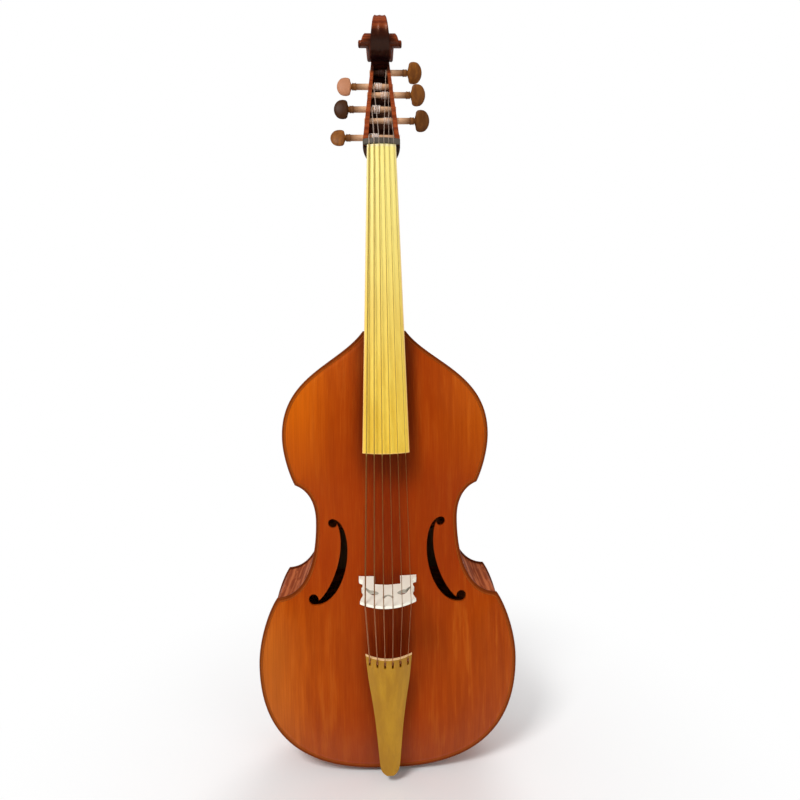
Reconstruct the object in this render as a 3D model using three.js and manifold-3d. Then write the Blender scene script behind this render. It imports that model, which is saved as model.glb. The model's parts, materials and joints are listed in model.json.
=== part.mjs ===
// A six-string bass viola da gamba. Millimetres, +Z up along the neck, the belly faces -Y.
// The origin lies on the centre line, at the bottom of the body, in the joint of belly and ribs.
import * as THREE from 'three';
import { mergeVertices } from 'three/addons/utils/BufferGeometryUtils.js';
import Module from 'manifold-3d';

const wasm = await Module();
wasm.setup();

// Body
const bodyLength = 690;
const upperBoutWidth = 324;
const upperCornerWidth = 286;
const waistWidth = 222;
const lowerCornerWidth = 346;
const lowerBoutWidth = 405;
const neckFootWidth = 67;
const tailFlatWidth = 24;
const ribDepth = 112;
const ribDepthAtNeck = 62;
const ribThickness = 2;
const edgeOverhang = 3;
const plateThickness = 4;
const archHeight = 21.5;
const glueGap = 0.3;

// Sound holes
const soundHoleLength = 133;
const soundHoleReach = 53.6;
const soundHoleInset = 61.2;
const soundHoleDrop = 40.5;
const soundHoleStem = 10.7;
const soundHoleTopEye = 7;
const soundHoleBottomEye = 8;

// Inside work
const liningHeight = 14;
const liningThickness = 6;
const cornerBlockArm = 28;
const neckBlockArm = 40;
const tailBlockArm = 46;
const tailBlockThickness = 22;
const braceHeight = 12;
const braceWidth = 18;
const braceClearance = 4;
const soundPlateWidth = 70;
const soundPlateThickness = 4;
const bassBarBottom = 138;
const bassBarSetback = 122;
const bassBarWidth = 6;
const bassBarHeight = 15;
const bassBarOffset = 26;
const soundPostDiameter = 11;
const soundPostOffset = 27;

// Neck, fingerboard and nut
const neckLength = 295;
const neckRoot = 98;
const shoulderLength = 24;
const fingerboardLength = 475;
const fingerboardEndWidth = 69;
const fingerboardNutWidth = 46;
const fingerboardEdge = 5.5;
const fingerboardArchRadius = 68;
const fingerboardCrownAtNut = 2;
const stringHeightAtEnd = 8;
const nutLength = 9;
const nutRise = 1.6;
const nutWidth = 59.4;

// Pegbox and scroll
const pegboxLength = 187;
const pegboxTopWidth = 24.4;
const pegboxDepth = 40;
const pegboxLean = 48.3;
const cheekAtNut = 8;
const cheekAtTop = 5.2;
const cavityBottom = 8.5;
const cavityLength = 144;
const cavityFloor = 9;
const scrollForward = 60;
const scrollEyeRadius = 6;
const scrollRadius = 42;
const scrollBackRadius = 44;
const scrollCrestWidth = 20.6;
const scrollEyeWidth = 73;

// Pegs and strings
const pegRadius = 5;
const pegThinRadius = 4.3;
const pegRunningGap = 0.3;
const pegTail = 1.5;
const pegExposed = 30;
const pegCollar = 9;
const pegCollarRadius = 6.2;
const pegThroatRadius = 4;
const pegHeadLength = 23.5;
const pegHeadDiameter = 34;
const pegHeadThickness = 10.5;
const stringDiameters = [2, 1.6, 1.3, 1.1, 0.9, 0.8];
const stringGap = 0.35;
const stringSpanAtNut = 39;
const windingTurns = 4;
const windingPitch = 2.7;
const windingGap = 0.6;

// Bridge
const bridgePlaceShare = 0.4435;
const bridgeFootLength = 8;
const bridgeCrownLength = 3.5;
const bridgeFootSpan = 88.4;
const bridgeFootWidth = 25;
const bridgeCrownSpan = 79;
const bridgeCrown = -114;
const bridgeCrownDrop = 17.4;
const bridgeCrownTilt = 2.1;
const bridgeStringSpan = 64;

// Tailpiece and hook bar
const tailpieceLength = 202;
const tailpieceBottom = 8;
const tailpieceWidth = 68.7;
const tailpieceCrown = -71;
const tailpieceHeel = -31;
const tailpieceThickness = 6.5;
const tailpieceArch = 14.5;
const tailpieceStringSpan = 56.4;
const slotWidth = 3;
const slotLength = 11;
const slotSetback = 4;
const hookWidth = 12;
const hookBarDepth = 40;
const hookBarThickness = 6.5;
const hookTipThickness = 6;
const hookHeight = 27;
const hookBend = 10;

const bridgePlace = bridgePlaceShare * bodyLength;
const soundHoleBottom = bridgePlace - soundHoleDrop;
const neckTop = bodyLength + neckLength;
const scrollCentre = { y: scrollForward, z: neckTop + pegboxLength };
const fullTurn = 2 * Math.PI;

// How far every cutting solid reaches past what it cuts
const cutOverrun = 12;

// Colours of the woods
const woods = {
  belly: new THREE.MeshStandardMaterial({ color: 0xb8560f, roughness: 0.32, metalness: 0 }),
  maple: new THREE.MeshStandardMaterial({ color: 0xa2501f, roughness: 0.32, metalness: 0 }),
  spruce: new THREE.MeshStandardMaterial({ color: 0xd9b98a, roughness: 0.75, metalness: 0 }),
  boxwood: new THREE.MeshStandardMaterial({ color: 0xe0c25c, roughness: 0.5, metalness: 0 }),
  tail: new THREE.MeshStandardMaterial({ color: 0xb08a2e, roughness: 0.5, metalness: 0 }),
  ebony: new THREE.MeshStandardMaterial({ color: 0x332c29, roughness: 0.45, metalness: 0 }),
  bridge: new THREE.MeshStandardMaterial({ color: 0xf3e2cc, roughness: 0.6, metalness: 0 }),
  peg: new THREE.MeshStandardMaterial({ color: 0x7d4e24, roughness: 0.45, metalness: 0 }),
  gut: new THREE.MeshStandardMaterial({ color: 0xd8c9a4, roughness: 0.5, metalness: 0 }),
};

const viol = new THREE.Group();
viol.name = 'viola_da_gamba';

function add(name, geometry, material) {
  const mesh = new THREE.Mesh(geometry, material);
  mesh.name = name;
  viol.add(mesh);
  return mesh;
}

// Shape tools: a loft through rings of points, its capped ends, and joins and cuts

function flatten(ring) {
  const normal = new THREE.Vector3();
  ring.forEach((point, i) => normal.add(point.clone().cross(ring[(i + 1) % ring.length])));
  const across = new THREE.Vector3(1, 0, 0);
  if (Math.abs(normal.clone().normalize().x) > 0.9) across.set(0, 1, 0);
  const u = across.cross(normal).normalize();
  const v = normal.clone().cross(u).normalize();
  return ring.map((point) => new THREE.Vector2(point.dot(u), point.dot(v)));
}

function geometryFrom(triangles) {
  const positions = triangles.flatMap((triangle) => triangle.flatMap((p) => [p.x, p.y, p.z]));
  let volume = 0;
  for (const [a, b, c] of triangles) volume += a.dot(b.clone().cross(c));
  const geometry = new THREE.BufferGeometry();
  geometry.setAttribute('position', new THREE.Float32BufferAttribute(positions, 3));
  if (volume < 0) flip(geometry);
  const merged = mergeVertices(geometry);
  merged.computeVertexNormals();
  return merged;
}

function flip(geometry) {
  const position = geometry.getAttribute('position');
  for (let i = 0; i < position.count; i += 3) {
    const first = new THREE.Vector3().fromBufferAttribute(position, i);
    const last = new THREE.Vector3().fromBufferAttribute(position, i + 2);
    position.setXYZ(i, last.x, last.y, last.z);
    position.setXYZ(i + 2, first.x, first.y, first.z);
  }
}

function loft(rings) {
  const triangles = [];
  for (let i = 0; i + 1 < rings.length; i += 1) {
    const ring = rings[i];
    const next = rings[i + 1];
    ring.forEach((point, j) => {
      const k = (j + 1) % ring.length;
      triangles.push([point, ring[k], next[k]], [point, next[k], next[j]]);
    });
  }
  const first = rings[0];
  const last = rings[rings.length - 1];
  for (const [a, b, c] of THREE.ShapeUtils.triangulateShape(flatten(first), [])) {
    triangles.push([first[a], first[c], first[b]]);
  }
  for (const [a, b, c] of THREE.ShapeUtils.triangulateShape(flatten(last), [])) {
    triangles.push([last[a], last[b], last[c]]);
  }
  return geometryFrom(orient(triangles));
}

// Caps are triangulated in their own plane, so each one is turned to fit its neighbours
function orient(triangles) {
  const key = (p) => `${p.x.toFixed(4)},${p.y.toFixed(4)},${p.z.toFixed(4)}`;
  const edges = new Map();
  triangles.forEach((triangle, index) => {
    triangle.forEach((point, i) => {
      const ends = [key(point), key(triangle[(i + 1) % triangle.length])];
      const name = [...ends].sort().join('|');
      if (!edges.has(name)) edges.set(name, []);
      edges.get(name).push({ index, forward: ends[0] < ends[1] });
    });
  });
  const turned = new Array(triangles.length).fill(null);
  turned[0] = false;
  const queue = [0];
  while (queue.length) {
    const index = queue.pop();
    const triangle = triangles[index];
    triangle.forEach((point, i) => {
      const name = [key(point), key(triangle[(i + 1) % triangle.length])].sort().join('|');
      const own = edges.get(name).find((edge) => edge.index === index);
      for (const edge of edges.get(name)) {
        if (edge.index === index || turned[edge.index] !== null) continue;
        turned[edge.index] = (edge.forward === own.forward) !== turned[index];
        queue.push(edge.index);
      }
    });
  }
  return triangles.map((triangle, index) => (turned[index] ? [...triangle].reverse() : triangle));
}

function solid(geometry) {
  const bare = geometry.clone();
  bare.deleteAttribute('normal');
  if (bare.getAttribute('uv')) bare.deleteAttribute('uv');
  const merged = mergeVertices(bare);
  return new wasm.Manifold(new wasm.Mesh({
    numProp: 3,
    vertProperties: new Float32Array(merged.getAttribute('position').array),
    triVerts: new Uint32Array(merged.getIndex().array),
  }));
}

function shell(manifold) {
  const mesh = manifold.getMesh();
  const geometry = new THREE.BufferGeometry();
  geometry.setAttribute('position', new THREE.BufferAttribute(mesh.vertProperties, 3));
  geometry.setIndex(new THREE.BufferAttribute(mesh.triVerts, 1));
  geometry.computeVertexNormals();
  return geometry;
}

function cut(geometry, tools) {
  return shell(tools.reduce((body, tool) => body.subtract(solid(tool)), solid(geometry)));
}

function at(x, y, z) {
  return new THREE.Vector3(x, y, z);
}

function prism(outline, front, back) {
  return loft([front, back].map((face) => outline.map((p) => at(p.x, face(p), p.y))));
}

function block(x0, x1, y0, y1, z0, z1) {
  const geometry = new THREE.BoxGeometry(x1 - x0, y1 - y0, z1 - z0);
  geometry.translate((x0 + x1) / 2, (y0 + y1) / 2, (z0 + z1) / 2);
  return geometry;
}

function mix(a, b, share) {
  return a + (b - a) * share;
}

// Looks a value up in a table of [place share, value share] rows
function lookUp(rows, place) {
  const next = rows.findIndex((row) => row[0] >= place);
  if (next === 0) return rows[0][1];
  if (next < 0) return rows[rows.length - 1][1];
  const before = rows[next - 1];
  return mix(before[1], rows[next][1], (place - before[0]) / (rows[next][0] - before[0]));
}

// Body outline: each row is a half width, a share of it and a share of the body length

function curve(rows) {
  const points = rows.map(([half, widthShare, heightShare]) => (
    new THREE.Vector2(half * widthShare, bodyLength * heightShare)
  ));
  return new THREE.CubicBezierCurve(...points);
}

const neckHalf = neckFootWidth / 2;
const upperHalf = upperBoutWidth / 2;
const upperCornerHalf = upperCornerWidth / 2;
const waistHalf = waistWidth / 2;
const lowerCornerHalf = lowerCornerWidth / 2;
const lowerHalf = lowerBoutWidth / 2;
const tailHalf = tailFlatWidth / 2;

// The upper bout is widest here, and the back folds at the same height
const upperWidestShare = 0.764;
const foldHeight = upperWidestShare * bodyLength;

const boutShares = {
  upper: [
    [
      [neckHalf, 1, 1], [upperHalf, 0.432, 0.9265],
      [upperHalf, 1, 0.902], [upperHalf, 1, upperWidestShare],
    ],
    [
      [upperHalf, 1, upperWidestShare], [upperHalf, 1, 0.7195],
      [upperHalf, 0.923, 0.6696], [upperCornerHalf, 1, 0.652],
    ],
  ],
  middle: [
    [
      [upperCornerHalf, 1, 0.652], [upperCornerHalf, 0.902, 0.6446],
      [waistHalf, 1, 0.623], [waistHalf, 1, 0.568],
    ],
    [
      [waistHalf, 1, 0.568], [waistHalf, 1, 0.464],
      [lowerCornerHalf, 0.769, 0.3985], [lowerCornerHalf, 1, 0.397],
    ],
  ],
  lower: [
    [
      [lowerCornerHalf, 1, 0.397], [lowerCornerHalf, 1.073, 0.372],
      [lowerHalf, 1, 0.3046], [lowerHalf, 1, 0.2464],
    ],
    [[lowerHalf, 1, 0.2464], [lowerHalf, 1, 0.0525], [lowerHalf, 0.543, 0], [tailHalf, 1, 0]],
  ],
};
const boutNames = Object.keys(boutShares);
const bouts = Object.fromEntries(boutNames.map((name) => [name, boutShares[name].map(curve)]));

// How many straight facets each curve has
const plateSteps = { upper: [6, 4], middle: [4, 6], lower: [4, 9] };

function plateOutline() {
  const points = [];
  for (const name of boutNames) {
    bouts[name].forEach((bezier, i) => points.push(...bezier.getPoints(plateSteps[name][i]).slice(1)));
  }
  return [bouts.upper[0].getPoint(0), ...points];
}

const stations = plateOutline();

function edgeDistance(x, z) {
  const rim = [new THREE.Vector2(0, bodyLength), ...stations, new THREE.Vector2(0, 0)];
  const place = new THREE.Vector3(Math.abs(x), z, 0);
  const nearest = new THREE.Vector3();
  let least = Infinity;
  for (let i = 0; i + 1 < rim.length; i += 1) {
    const edge = new THREE.Line3(at(rim[i].x, rim[i].y, 0), at(rim[i + 1].x, rim[i + 1].y, 0));
    edge.closestPointToPoint(place, true, nearest);
    least = Math.min(least, nearest.distanceTo(place));
  }
  return least;
}

// The arch rises from a flat edge and reaches its full height a quarter of the body's width in
const archReachShare = 0.26;
const archEase = 1.25;
const archPower = 2.2;

function arch(x, z) {
  const share = Math.min(edgeDistance(x, z) / (archReachShare * lowerBoutWidth), 1);
  return archHeight * (1 - (1 - share ** archEase) ** archPower);
}

const columnShares = [-1, -0.93, -0.8, -0.62, -0.41, -0.2, 0, 0.2, 0.41, 0.62, 0.8, 0.93, 1];
const bellyRows = stations.map((station) => columnShares.map((share) => {
  const x = share * station.x;
  return at(x, -arch(x, station.y), station.y);
}));

// Height of the belly's inner face, on the same straight facets as its solid
function bellyInside(x, z) {
  const next = Math.max(1, bellyRows.findIndex((row) => row[0].z <= z));
  const heights = [bellyRows[next - 1], bellyRows[next]].map((row) => {
    const j = Math.max(1, row.findIndex((point) => point.x >= x));
    return mix(row[j - 1].y, row[j].y, (x - row[j - 1].x) / (row[j].x - row[j - 1].x));
  });
  const top = bellyRows[next - 1][0].z;
  const bottom = bellyRows[next][0].z;
  return mix(heights[0], heights[1], (top - z) / (top - bottom));
}

function bellyOutside(x, z) {
  return bellyInside(x, z) - plateThickness;
}

// Inner face of the back, which folds forward towards the neck
function backInside(z) {
  const share = Math.max(0, (z - foldHeight) / (bodyLength - foldHeight));
  return mix(ribDepth, ribDepthAtNeck, share);
}

// The inner edge of the sound hole, the eyes and the outer edge, as shares of its reach and length
const innerEdgeShares = {
  top: [0.431, 1], topPull: [0.164, 1], bend: [0, 0.65], bendPull: [0, 0.846],
  bottomPull: [0, 0.335], eyePull: [0.388, 0],
};
const outerEdgeShares = {
  eyePull: [0.575, 0.147], bendPull: 0.447, bend: 0.7256, topPull: 0.823, eyeTop: [0.239, 0.898],
};
const soundHoleSteps = 6;

function soundHole(side) {
  const along = (share) => soundHoleBottom + share * soundHoleLength;
  const over = (share) => soundHoleInset + share * soundHoleReach;
  const spot = ([reachShare, lengthShare]) => [over(reachShare), along(lengthShare)];
  const inner = innerEdgeShares;
  const outer = outerEdgeShares;
  const stem = soundHoleInset + soundHoleStem;
  const topEye = new THREE.Vector2(over(inner.top[0]), along(1) - soundHoleTopEye);
  const bottomEye = new THREE.Vector2(over(1), along(0) + soundHoleBottomEye);
  const shape = new THREE.Shape();
  shape.moveTo(...spot(inner.top));
  shape.bezierCurveTo(...spot(inner.topPull), ...spot(inner.bendPull), ...spot(inner.bend));
  shape.bezierCurveTo(...spot(inner.bottomPull), ...spot(inner.eyePull), bottomEye.x, along(0));
  shape.absarc(bottomEye.x, bottomEye.y, soundHoleBottomEye, -Math.PI / 2, Math.PI, false);
  shape.bezierCurveTo(...spot(outer.eyePull), stem, along(outer.bendPull), stem, along(outer.bend));
  const eyeStart = [topEye.x - soundHoleTopEye, topEye.y];
  shape.bezierCurveTo(stem, along(outer.topPull), ...spot(outer.eyeTop), ...eyeStart);
  shape.absarc(topEye.x, topEye.y, soundHoleTopEye, -Math.PI, Math.PI / 2, false);
  const outline = [];
  for (const point of shape.getPoints(soundHoleSteps)) {
    const last = outline[outline.length - 1];
    if (!last || last.distanceTo(point) > glueGap) outline.push(point);
  }
  if (outline[0].distanceTo(outline[outline.length - 1]) < glueGap) outline.pop();
  const mirrored = outline.map((p) => new THREE.Vector2(side * p.x, p.y));
  const inFront = -archHeight - plateThickness - cutOverrun;
  return prism(mirrored, () => inFront, () => cutOverrun);
}

function makePlates() {
  const belly = loft(bellyRows.map((row) => [
    ...row.map((p) => at(p.x, p.y - plateThickness, p.z)),
    ...[...row].reverse(),
  ]));
  add('top_plate', cut(belly, [soundHole(-1), soundHole(1)]), woods.belly);
  const back = loft(stations.map((p) => {
    const inside = backInside(p.y);
    const outside = inside + plateThickness;
    return [at(-p.x, inside, p.y), at(p.x, inside, p.y), at(p.x, outside, p.y), at(-p.x, outside, p.y)];
  }));
  add('back_plate', back, woods.maple);
}

// Ribs, linings and blocks follow the outline, each at its own distance inside it.
// Every such line has its points at the same shares of the curves, so their facets stay parallel.

function inset(name, distance) {
  const points = [];
  bouts[name].forEach((bezier, half) => {
    const steps = plateSteps[name][half];
    for (let i = half ? 1 : 0; i <= steps; i += 1) {
      const point = bezier.getPoint(i / steps);
      const tangent = bezier.getTangent(i / steps);
      points.push(new THREE.Vector2(point.x + tangent.y * distance, point.y - tangent.x * distance));
    }
  });
  if (name === 'upper') {
    const slope = points[1].clone().sub(points[0]);
    points.unshift(points[0].clone().addScaledVector(slope, (bodyLength - points[0].y) / slope.y));
  }
  if (name === 'lower') points.push(new THREE.Vector2(0, points[points.length - 1].y));
  return points;
}

function crossing(first, second) {
  for (let i = first.length - 1; i > 0; i -= 1) {
    for (let j = 0; j + 1 < second.length; j += 1) {
      const hit = meet(first[i - 1], first[i], second[j], second[j + 1]);
      if (hit) return { point: hit, i, j };
    }
  }
  throw new Error('the bouts do not meet at the corner');
}

// How far past its ends a facet still counts as crossed, as a share of its length
const meetEaseShare = 1e-6;

function meet(a, b, c, d) {
  const ab = b.clone().sub(a);
  const cd = d.clone().sub(c);
  const ac = c.clone().sub(a);
  const area = ab.cross(cd);
  const t = ac.cross(cd) / area;
  const s = ac.cross(ab) / area;
  const crossed = [t, s].every((share) => share >= -meetEaseShare && share <= 1 + meetEaseShare);
  return crossed ? a.clone().addScaledVector(ab, t) : null;
}

function corners(distance) {
  const lines = Object.fromEntries(boutNames.map((name) => [name, inset(name, distance)]));
  return { lines, high: crossing(lines.upper, lines.middle), low: crossing(lines.middle, lines.lower) };
}

const blockDistance = edgeOverhang + ribThickness + glueGap;
const deepest = corners(blockDistance + liningThickness);

function insetBouts(distance) {
  const { lines, high, low } = corners(distance);
  return {
    upper: [...lines.upper.slice(0, deepest.high.i), high.point],
    middle: [high.point, ...lines.middle.slice(deepest.high.j + 1, deepest.low.i), low.point],
    lower: [low.point, ...lines.lower.slice(deepest.low.j + 1)],
  };
}

// The part of a line between two of its rows, which may lie between its points
const leastRowShare = 0.02;

function part(points, from, to) {
  const spot = (row) => {
    const before = Math.min(Math.floor(row), points.length - 2);
    return points[before].clone().lerp(points[before + 1], row - before);
  };
  const inner = points.filter((_, i) => i > from + leastRowShare && i < to - leastRowShare);
  return [spot(from), ...inner, spot(to)];
}

// The row of a line at a distance along it from its first point
function rowAt(points, distance) {
  let left = distance;
  for (let i = 0; i + 1 < points.length; i += 1) {
    const length = points[i].distanceTo(points[i + 1]);
    if (left <= length) return i + left / length;
    left -= length;
  }
  return points.length - 1;
}

function rowFromEnd(points, distance) {
  return points.length - 1 - rowAt([...points].reverse(), distance);
}

const ribOuter = insetBouts(edgeOverhang);
const ribInner = insetBouts(edgeOverhang + ribThickness);
const blockFace = insetBouts(blockDistance);
const liningInner = insetBouts(blockDistance + liningThickness);

function ribbon(outer, inner, side, front, back) {
  return loft(outer.map((p, i) => {
    const q = inner[i];
    return [
      at(side * p.x, front(p), p.y),
      at(side * q.x, front(q), q.y),
      at(side * q.x, back(q), q.y),
      at(side * p.x, back(p), p.y),
    ];
  }));
}

function makeRibs(sideName, side) {
  for (const name of boutNames) {
    const from = name === 'upper' ? 0 : rowAt(ribOuter[name], glueGap / 2);
    const to = rowFromEnd(ribOuter[name], glueGap / 2);
    const outer = part(ribOuter[name], from, to);
    const inner = part(ribInner[name], from, to);
    const back = (p) => backInside(p.y) - glueGap;
    add(`${name}_rib_${sideName}`, ribbon(outer, inner, side, () => glueGap, back), woods.maple);
  }
}

const blockArms = {
  upper: [neckBlockArm, cornerBlockArm],
  middle: [cornerBlockArm, cornerBlockArm],
  lower: [cornerBlockArm, tailBlockArm],
};

// The rows of a bout between its two blocks
function betweenBlocks(name) {
  const [start, end] = blockArms[name];
  return [rowAt(blockFace[name], start + glueGap), rowFromEnd(blockFace[name], end + glueGap)];
}

function makeLinings(sideName, side) {
  for (const name of boutNames) {
    const [from, to] = betweenBlocks(name);
    const outer = part(blockFace[name], from, to);
    const inner = part(liningInner[name], from, to);
    const front = () => glueGap;
    const frontEnd = () => liningHeight;
    const backEnd = (p) => backInside(p.y) - glueGap;
    const back = (p) => backInside(p.y) - liningHeight;
    add(`front_lining_${name}_${sideName}`, ribbon(outer, inner, side, front, frontEnd), woods.spruce);
    add(`back_lining_${name}_${sideName}`, ribbon(outer, inner, side, back, backEnd), woods.spruce);
  }
}

// A corner block's outline lies between the bouts' ribs and its chord joins the linings' inner lines
function cornerBlockOutline(above, below) {
  const corner = blockFace[above].length - 1;
  const start = rowFromEnd(blockFace[above], cornerBlockArm);
  const end = rowAt(blockFace[below], cornerBlockArm);
  const down = part(blockFace[above], start, corner);
  const on = part(blockFace[below], 0, end);
  const inner = [part(liningInner[below], 0, end).pop(), part(liningInner[above], start, corner)[0]];
  return [...down, ...on.slice(1), ...inner];
}

const cornerBlocks = {
  upper: cornerBlockOutline('upper', 'middle'),
  lower: cornerBlockOutline('middle', 'lower'),
};

function makeBlocks() {
  const front = () => glueGap;
  const back = (p) => backInside(p.y) - glueGap;
  const mirror = (line) => [...line].reverse().map((p) => new THREE.Vector2(-p.x, p.y));
  const shoulder = part(blockFace.upper, 0, rowAt(blockFace.upper, neckBlockArm));
  add('neck_block', prism([...mirror(shoulder), ...shoulder], front, back), woods.spruce);
  const last = blockFace.lower.length - 1;
  const tailRow = rowFromEnd(blockFace.lower, tailBlockArm);
  const tail = part(blockFace.lower, tailRow, last);
  const side = part(liningInner.lower, tailRow, last)[0];
  const raised = new THREE.Vector2(side.x, side.y + tailBlockThickness - liningThickness);
  const half = [raised, side, ...tail];
  add('tail_block', prism([...half, ...mirror(half).slice(1)], front, back), woods.spruce);
  for (const [sideName, side] of [['left', -1], ['right', 1]]) {
    for (const [name, outline] of Object.entries(cornerBlocks)) {
      const points = outline.map((p) => new THREE.Vector2(side * p.x, p.y));
      add(`${name}_corner_block_${sideName}`, prism(points, front, back), woods.spruce);
    }
  }
}

// Half the clear width between the linings at a height
function clearHalfAt(z) {
  const lines = [...liningInner.upper, ...liningInner.middle, ...liningInner.lower];
  const next = lines.findIndex((p) => p.y <= z);
  const share = (lines[next - 1].y - z) / (lines[next - 1].y - lines[next].y);
  return mix(lines[next - 1].x, lines[next].x, share) - glueGap;
}

// The least clear half width over a board's height
const clearSteps = 12;

function clearHalf(middle, height) {
  const heights = Array.from({ length: clearSteps + 1 }, (_, i) => middle + height * (i / clearSteps - 0.5));
  return Math.min(...heights.map(clearHalfAt)) - glueGap;
}

// The upper brace lies just above the corner blocks
const lowerBraceShare = 0.16;
const cornerBlockTop = Math.max(...cornerBlocks.upper.map((p) => p.y));
const braceHeights = {
  upper: cornerBlockTop + braceClearance + braceWidth / 2,
  lower: lowerBraceShare * bodyLength,
};

function makeBraces() {
  const face = ribDepth - glueGap;
  for (const [name, z] of Object.entries(braceHeights)) {
    const half = clearHalf(z, braceWidth);
    const brace = block(-half, half, face - braceHeight, face, z - braceWidth / 2, z + braceWidth / 2);
    add(`back_brace_${name}`, brace, woods.spruce);
  }
  const edges = [bridgePlace - soundPlateWidth / 2, bridgePlace + soundPlateWidth / 2];
  const half = clearHalf(bridgePlace, soundPlateWidth);
  const plate = block(-half, half, face - soundPlateThickness, face, edges[0], edges[1]);
  add('back_brace_sound_plate', plate, woods.spruce);
}

// The bass bar runs under the bridge's bass foot, and its ends slope away
const barRiseShares = [[0, 0.3], [0.2, 0.8], [0.5, 1], [0.8, 0.8], [1, 0.3]];
const barSteps = 10;

function makeBassBar() {
  const rings = Array.from({ length: barSteps + 1 }, (_, i) => {
    const z = mix(bassBarBottom, bodyLength - bassBarSetback, i / barSteps);
    const edges = [-bassBarOffset - bassBarWidth / 2, -bassBarOffset + bassBarWidth / 2];
    const top = Math.max(bellyInside(edges[0], z), bellyInside(edges[1], z)) + 2 * glueGap;
    const height = bassBarHeight * lookUp(barRiseShares, i / barSteps);
    const under = [...edges].reverse();
    return [...edges.map((x) => at(x, top, z)), ...under.map((x) => at(x, top + height, z))];
  });
  add('bass_bar', loft(rings), woods.spruce);
}

const postSides = 16;

function makeSoundPost() {
  const radius = soundPostDiameter / 2;
  const z = bridgePlace - soundPostDiameter;
  const around = [-radius, 0, radius];
  const tops = around.flatMap((dx) => around.map((dz) => bellyInside(soundPostOffset + dx, z + dz)));
  const front = Math.max(...tops) + glueGap;
  const back = ribDepth - 2 * glueGap - soundPlateThickness;
  const post = new THREE.CylinderGeometry(radius, radius, back - front, postSides);
  post.translate(soundPostOffset, (front + back) / 2, z);
  add('sound_post', post, woods.spruce);
}

// Fingerboard, neck and nut

function boardHalf(z) {
  const share = (neckTop - z) / fingerboardLength;
  return mix(fingerboardNutWidth, fingerboardEndWidth, share) / 2;
}

function sagitta(half, radius) {
  return radius - Math.sqrt(radius ** 2 - half ** 2);
}

// The fingerboard's end lies a set height under the line from the nut's crown to the bridge's
const bridgeTop = bridgePlace + bridgeCrownLength;
const endShare = fingerboardLength / (neckTop - bridgeTop);
const stringLineAtEnd = mix(fingerboardCrownAtNut - nutRise, bridgeCrown, endShare);
const fingerboardCrownAtEnd = stringLineAtEnd + stringHeightAtEnd;

function boardCrown(z) {
  return mix(fingerboardCrownAtNut, fingerboardCrownAtEnd, (neckTop - z) / fingerboardLength);
}

// The flat underside of the fingerboard, which is also the face of the neck under it
function boardUnderside(z) {
  const atNut = fingerboardCrownAtNut + sagitta(fingerboardNutWidth / 2, fingerboardArchRadius);
  const atEnd = fingerboardCrownAtEnd + sagitta(fingerboardEndWidth / 2, fingerboardArchRadius);
  return mix(atNut, atEnd, (neckTop - z) / fingerboardLength) + fingerboardEdge;
}

const boardSteps = 10;

// The arched front of the fingerboard or the nut at a height
function boardArc(half, crown, z) {
  return Array.from({ length: boardSteps + 1 }, (_, i) => {
    const x = mix(-half, half, i / boardSteps);
    return at(x, crown + sagitta(x, fingerboardArchRadius), z);
  });
}

function makeFingerboard() {
  const rings = [neckTop, neckTop - fingerboardLength].map((z) => {
    const half = boardHalf(z);
    const top = boardArc(half, boardCrown(z), z);
    return [...top, at(half, boardUnderside(z), z), at(-half, boardUnderside(z), z)];
  });
  add('fingerboard', loft(rings), woods.boxwood);
}

// How deep the neck is from its heel to the nut: rows of [height share, share of the heel's depth]
const neckDepthShares = [
  [0, 1], [0.05, 0.83], [0.1, 0.6], [0.16, 0.42], [0.24, 0.315], [0.36, 0.275],
  [0.9, 0.245], [0.97, 0.25], [1, 0.27],
];
const neckSides = 12;
const neckRoundness = 0.75;

function neckRing(z, half, front, depth) {
  return Array.from({ length: neckSides + 1 }, (_, i) => {
    const angle = Math.PI * i / neckSides;
    return at(half * Math.cos(angle), front + depth * Math.sin(angle) ** neckRoundness, z);
  });
}

function makeNeck() {
  const bottom = bodyLength + glueGap;
  const length = neckTop - bottom;
  const rings = neckDepthShares.map(([share, depthShare]) => {
    const z = bottom + share * length;
    const front = boardUnderside(z) + glueGap;
    const shoulder = Math.max(0, 1 - (neckTop - z) / shoulderLength);
    const half = mix(boardHalf(z), nutWidth / 2, shoulder);
    return neckRing(z, half, front, neckRoot * depthShare);
  });
  add('neck', loft(rings), woods.maple);
}

const nutBottom = neckTop + glueGap;

function makeNut() {
  const front = fingerboardCrownAtNut - nutRise;
  const half = nutWidth / 2;
  const back = boardUnderside(neckTop) - glueGap;
  const rings = [nutBottom, nutBottom + nutLength].map((z) => {
    const top = boardArc(half, front, z);
    return [...top, at(half, back, z), at(-half, back, z)];
  });
  add('nut', loft(rings), woods.ebony);
}

// Pegbox: level sections given as [height share, front share, depth share, width share]

const pegboxBottom = neckTop + glueGap;
const rimStart = boardUnderside(neckTop) + glueGap;
const pegboxShares = [
  [0, 0, 0.66, 1], [0.053, 0, 0.96, 0.99], [0.121, 0.095, 1, 0.945], [0.238, 0.246, 0.94, 0.88],
  [0.372, 0.421, 0.88, 0.8], [0.506, 0.596, 0.85, 0.715], [0.64, 0.772, 0.83, 0.635],
  [0.774, 0.948, 0.81, 0.555], [0.86, 1.01, 0.875, 0.505], [0.93, 1, 1.02, 0.46], [1, 1, 1.1, 0.411],
];

function pegboxAt(z) {
  const share = (z - pegboxBottom) / (scrollCentre.z - pegboxBottom);
  const pick = (column) => lookUp(pegboxShares.map((row) => [row[0], row[column]]), share);
  const front = rimStart + pegboxLean * pick(1);
  return { front, back: front + pegboxDepth * pick(2), half: nutWidth / 2 * pick(3) };
}

function cheek(z) {
  return mix(cheekAtNut, cheekAtTop, (z - pegboxBottom - cavityBottom) / cavityLength);
}

function innerHalf(z) {
  return pegboxAt(z).half - cheek(z);
}

// How far a rounded corner is cut in at its middle
const cornerCutShare = 1 / 3;

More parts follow.
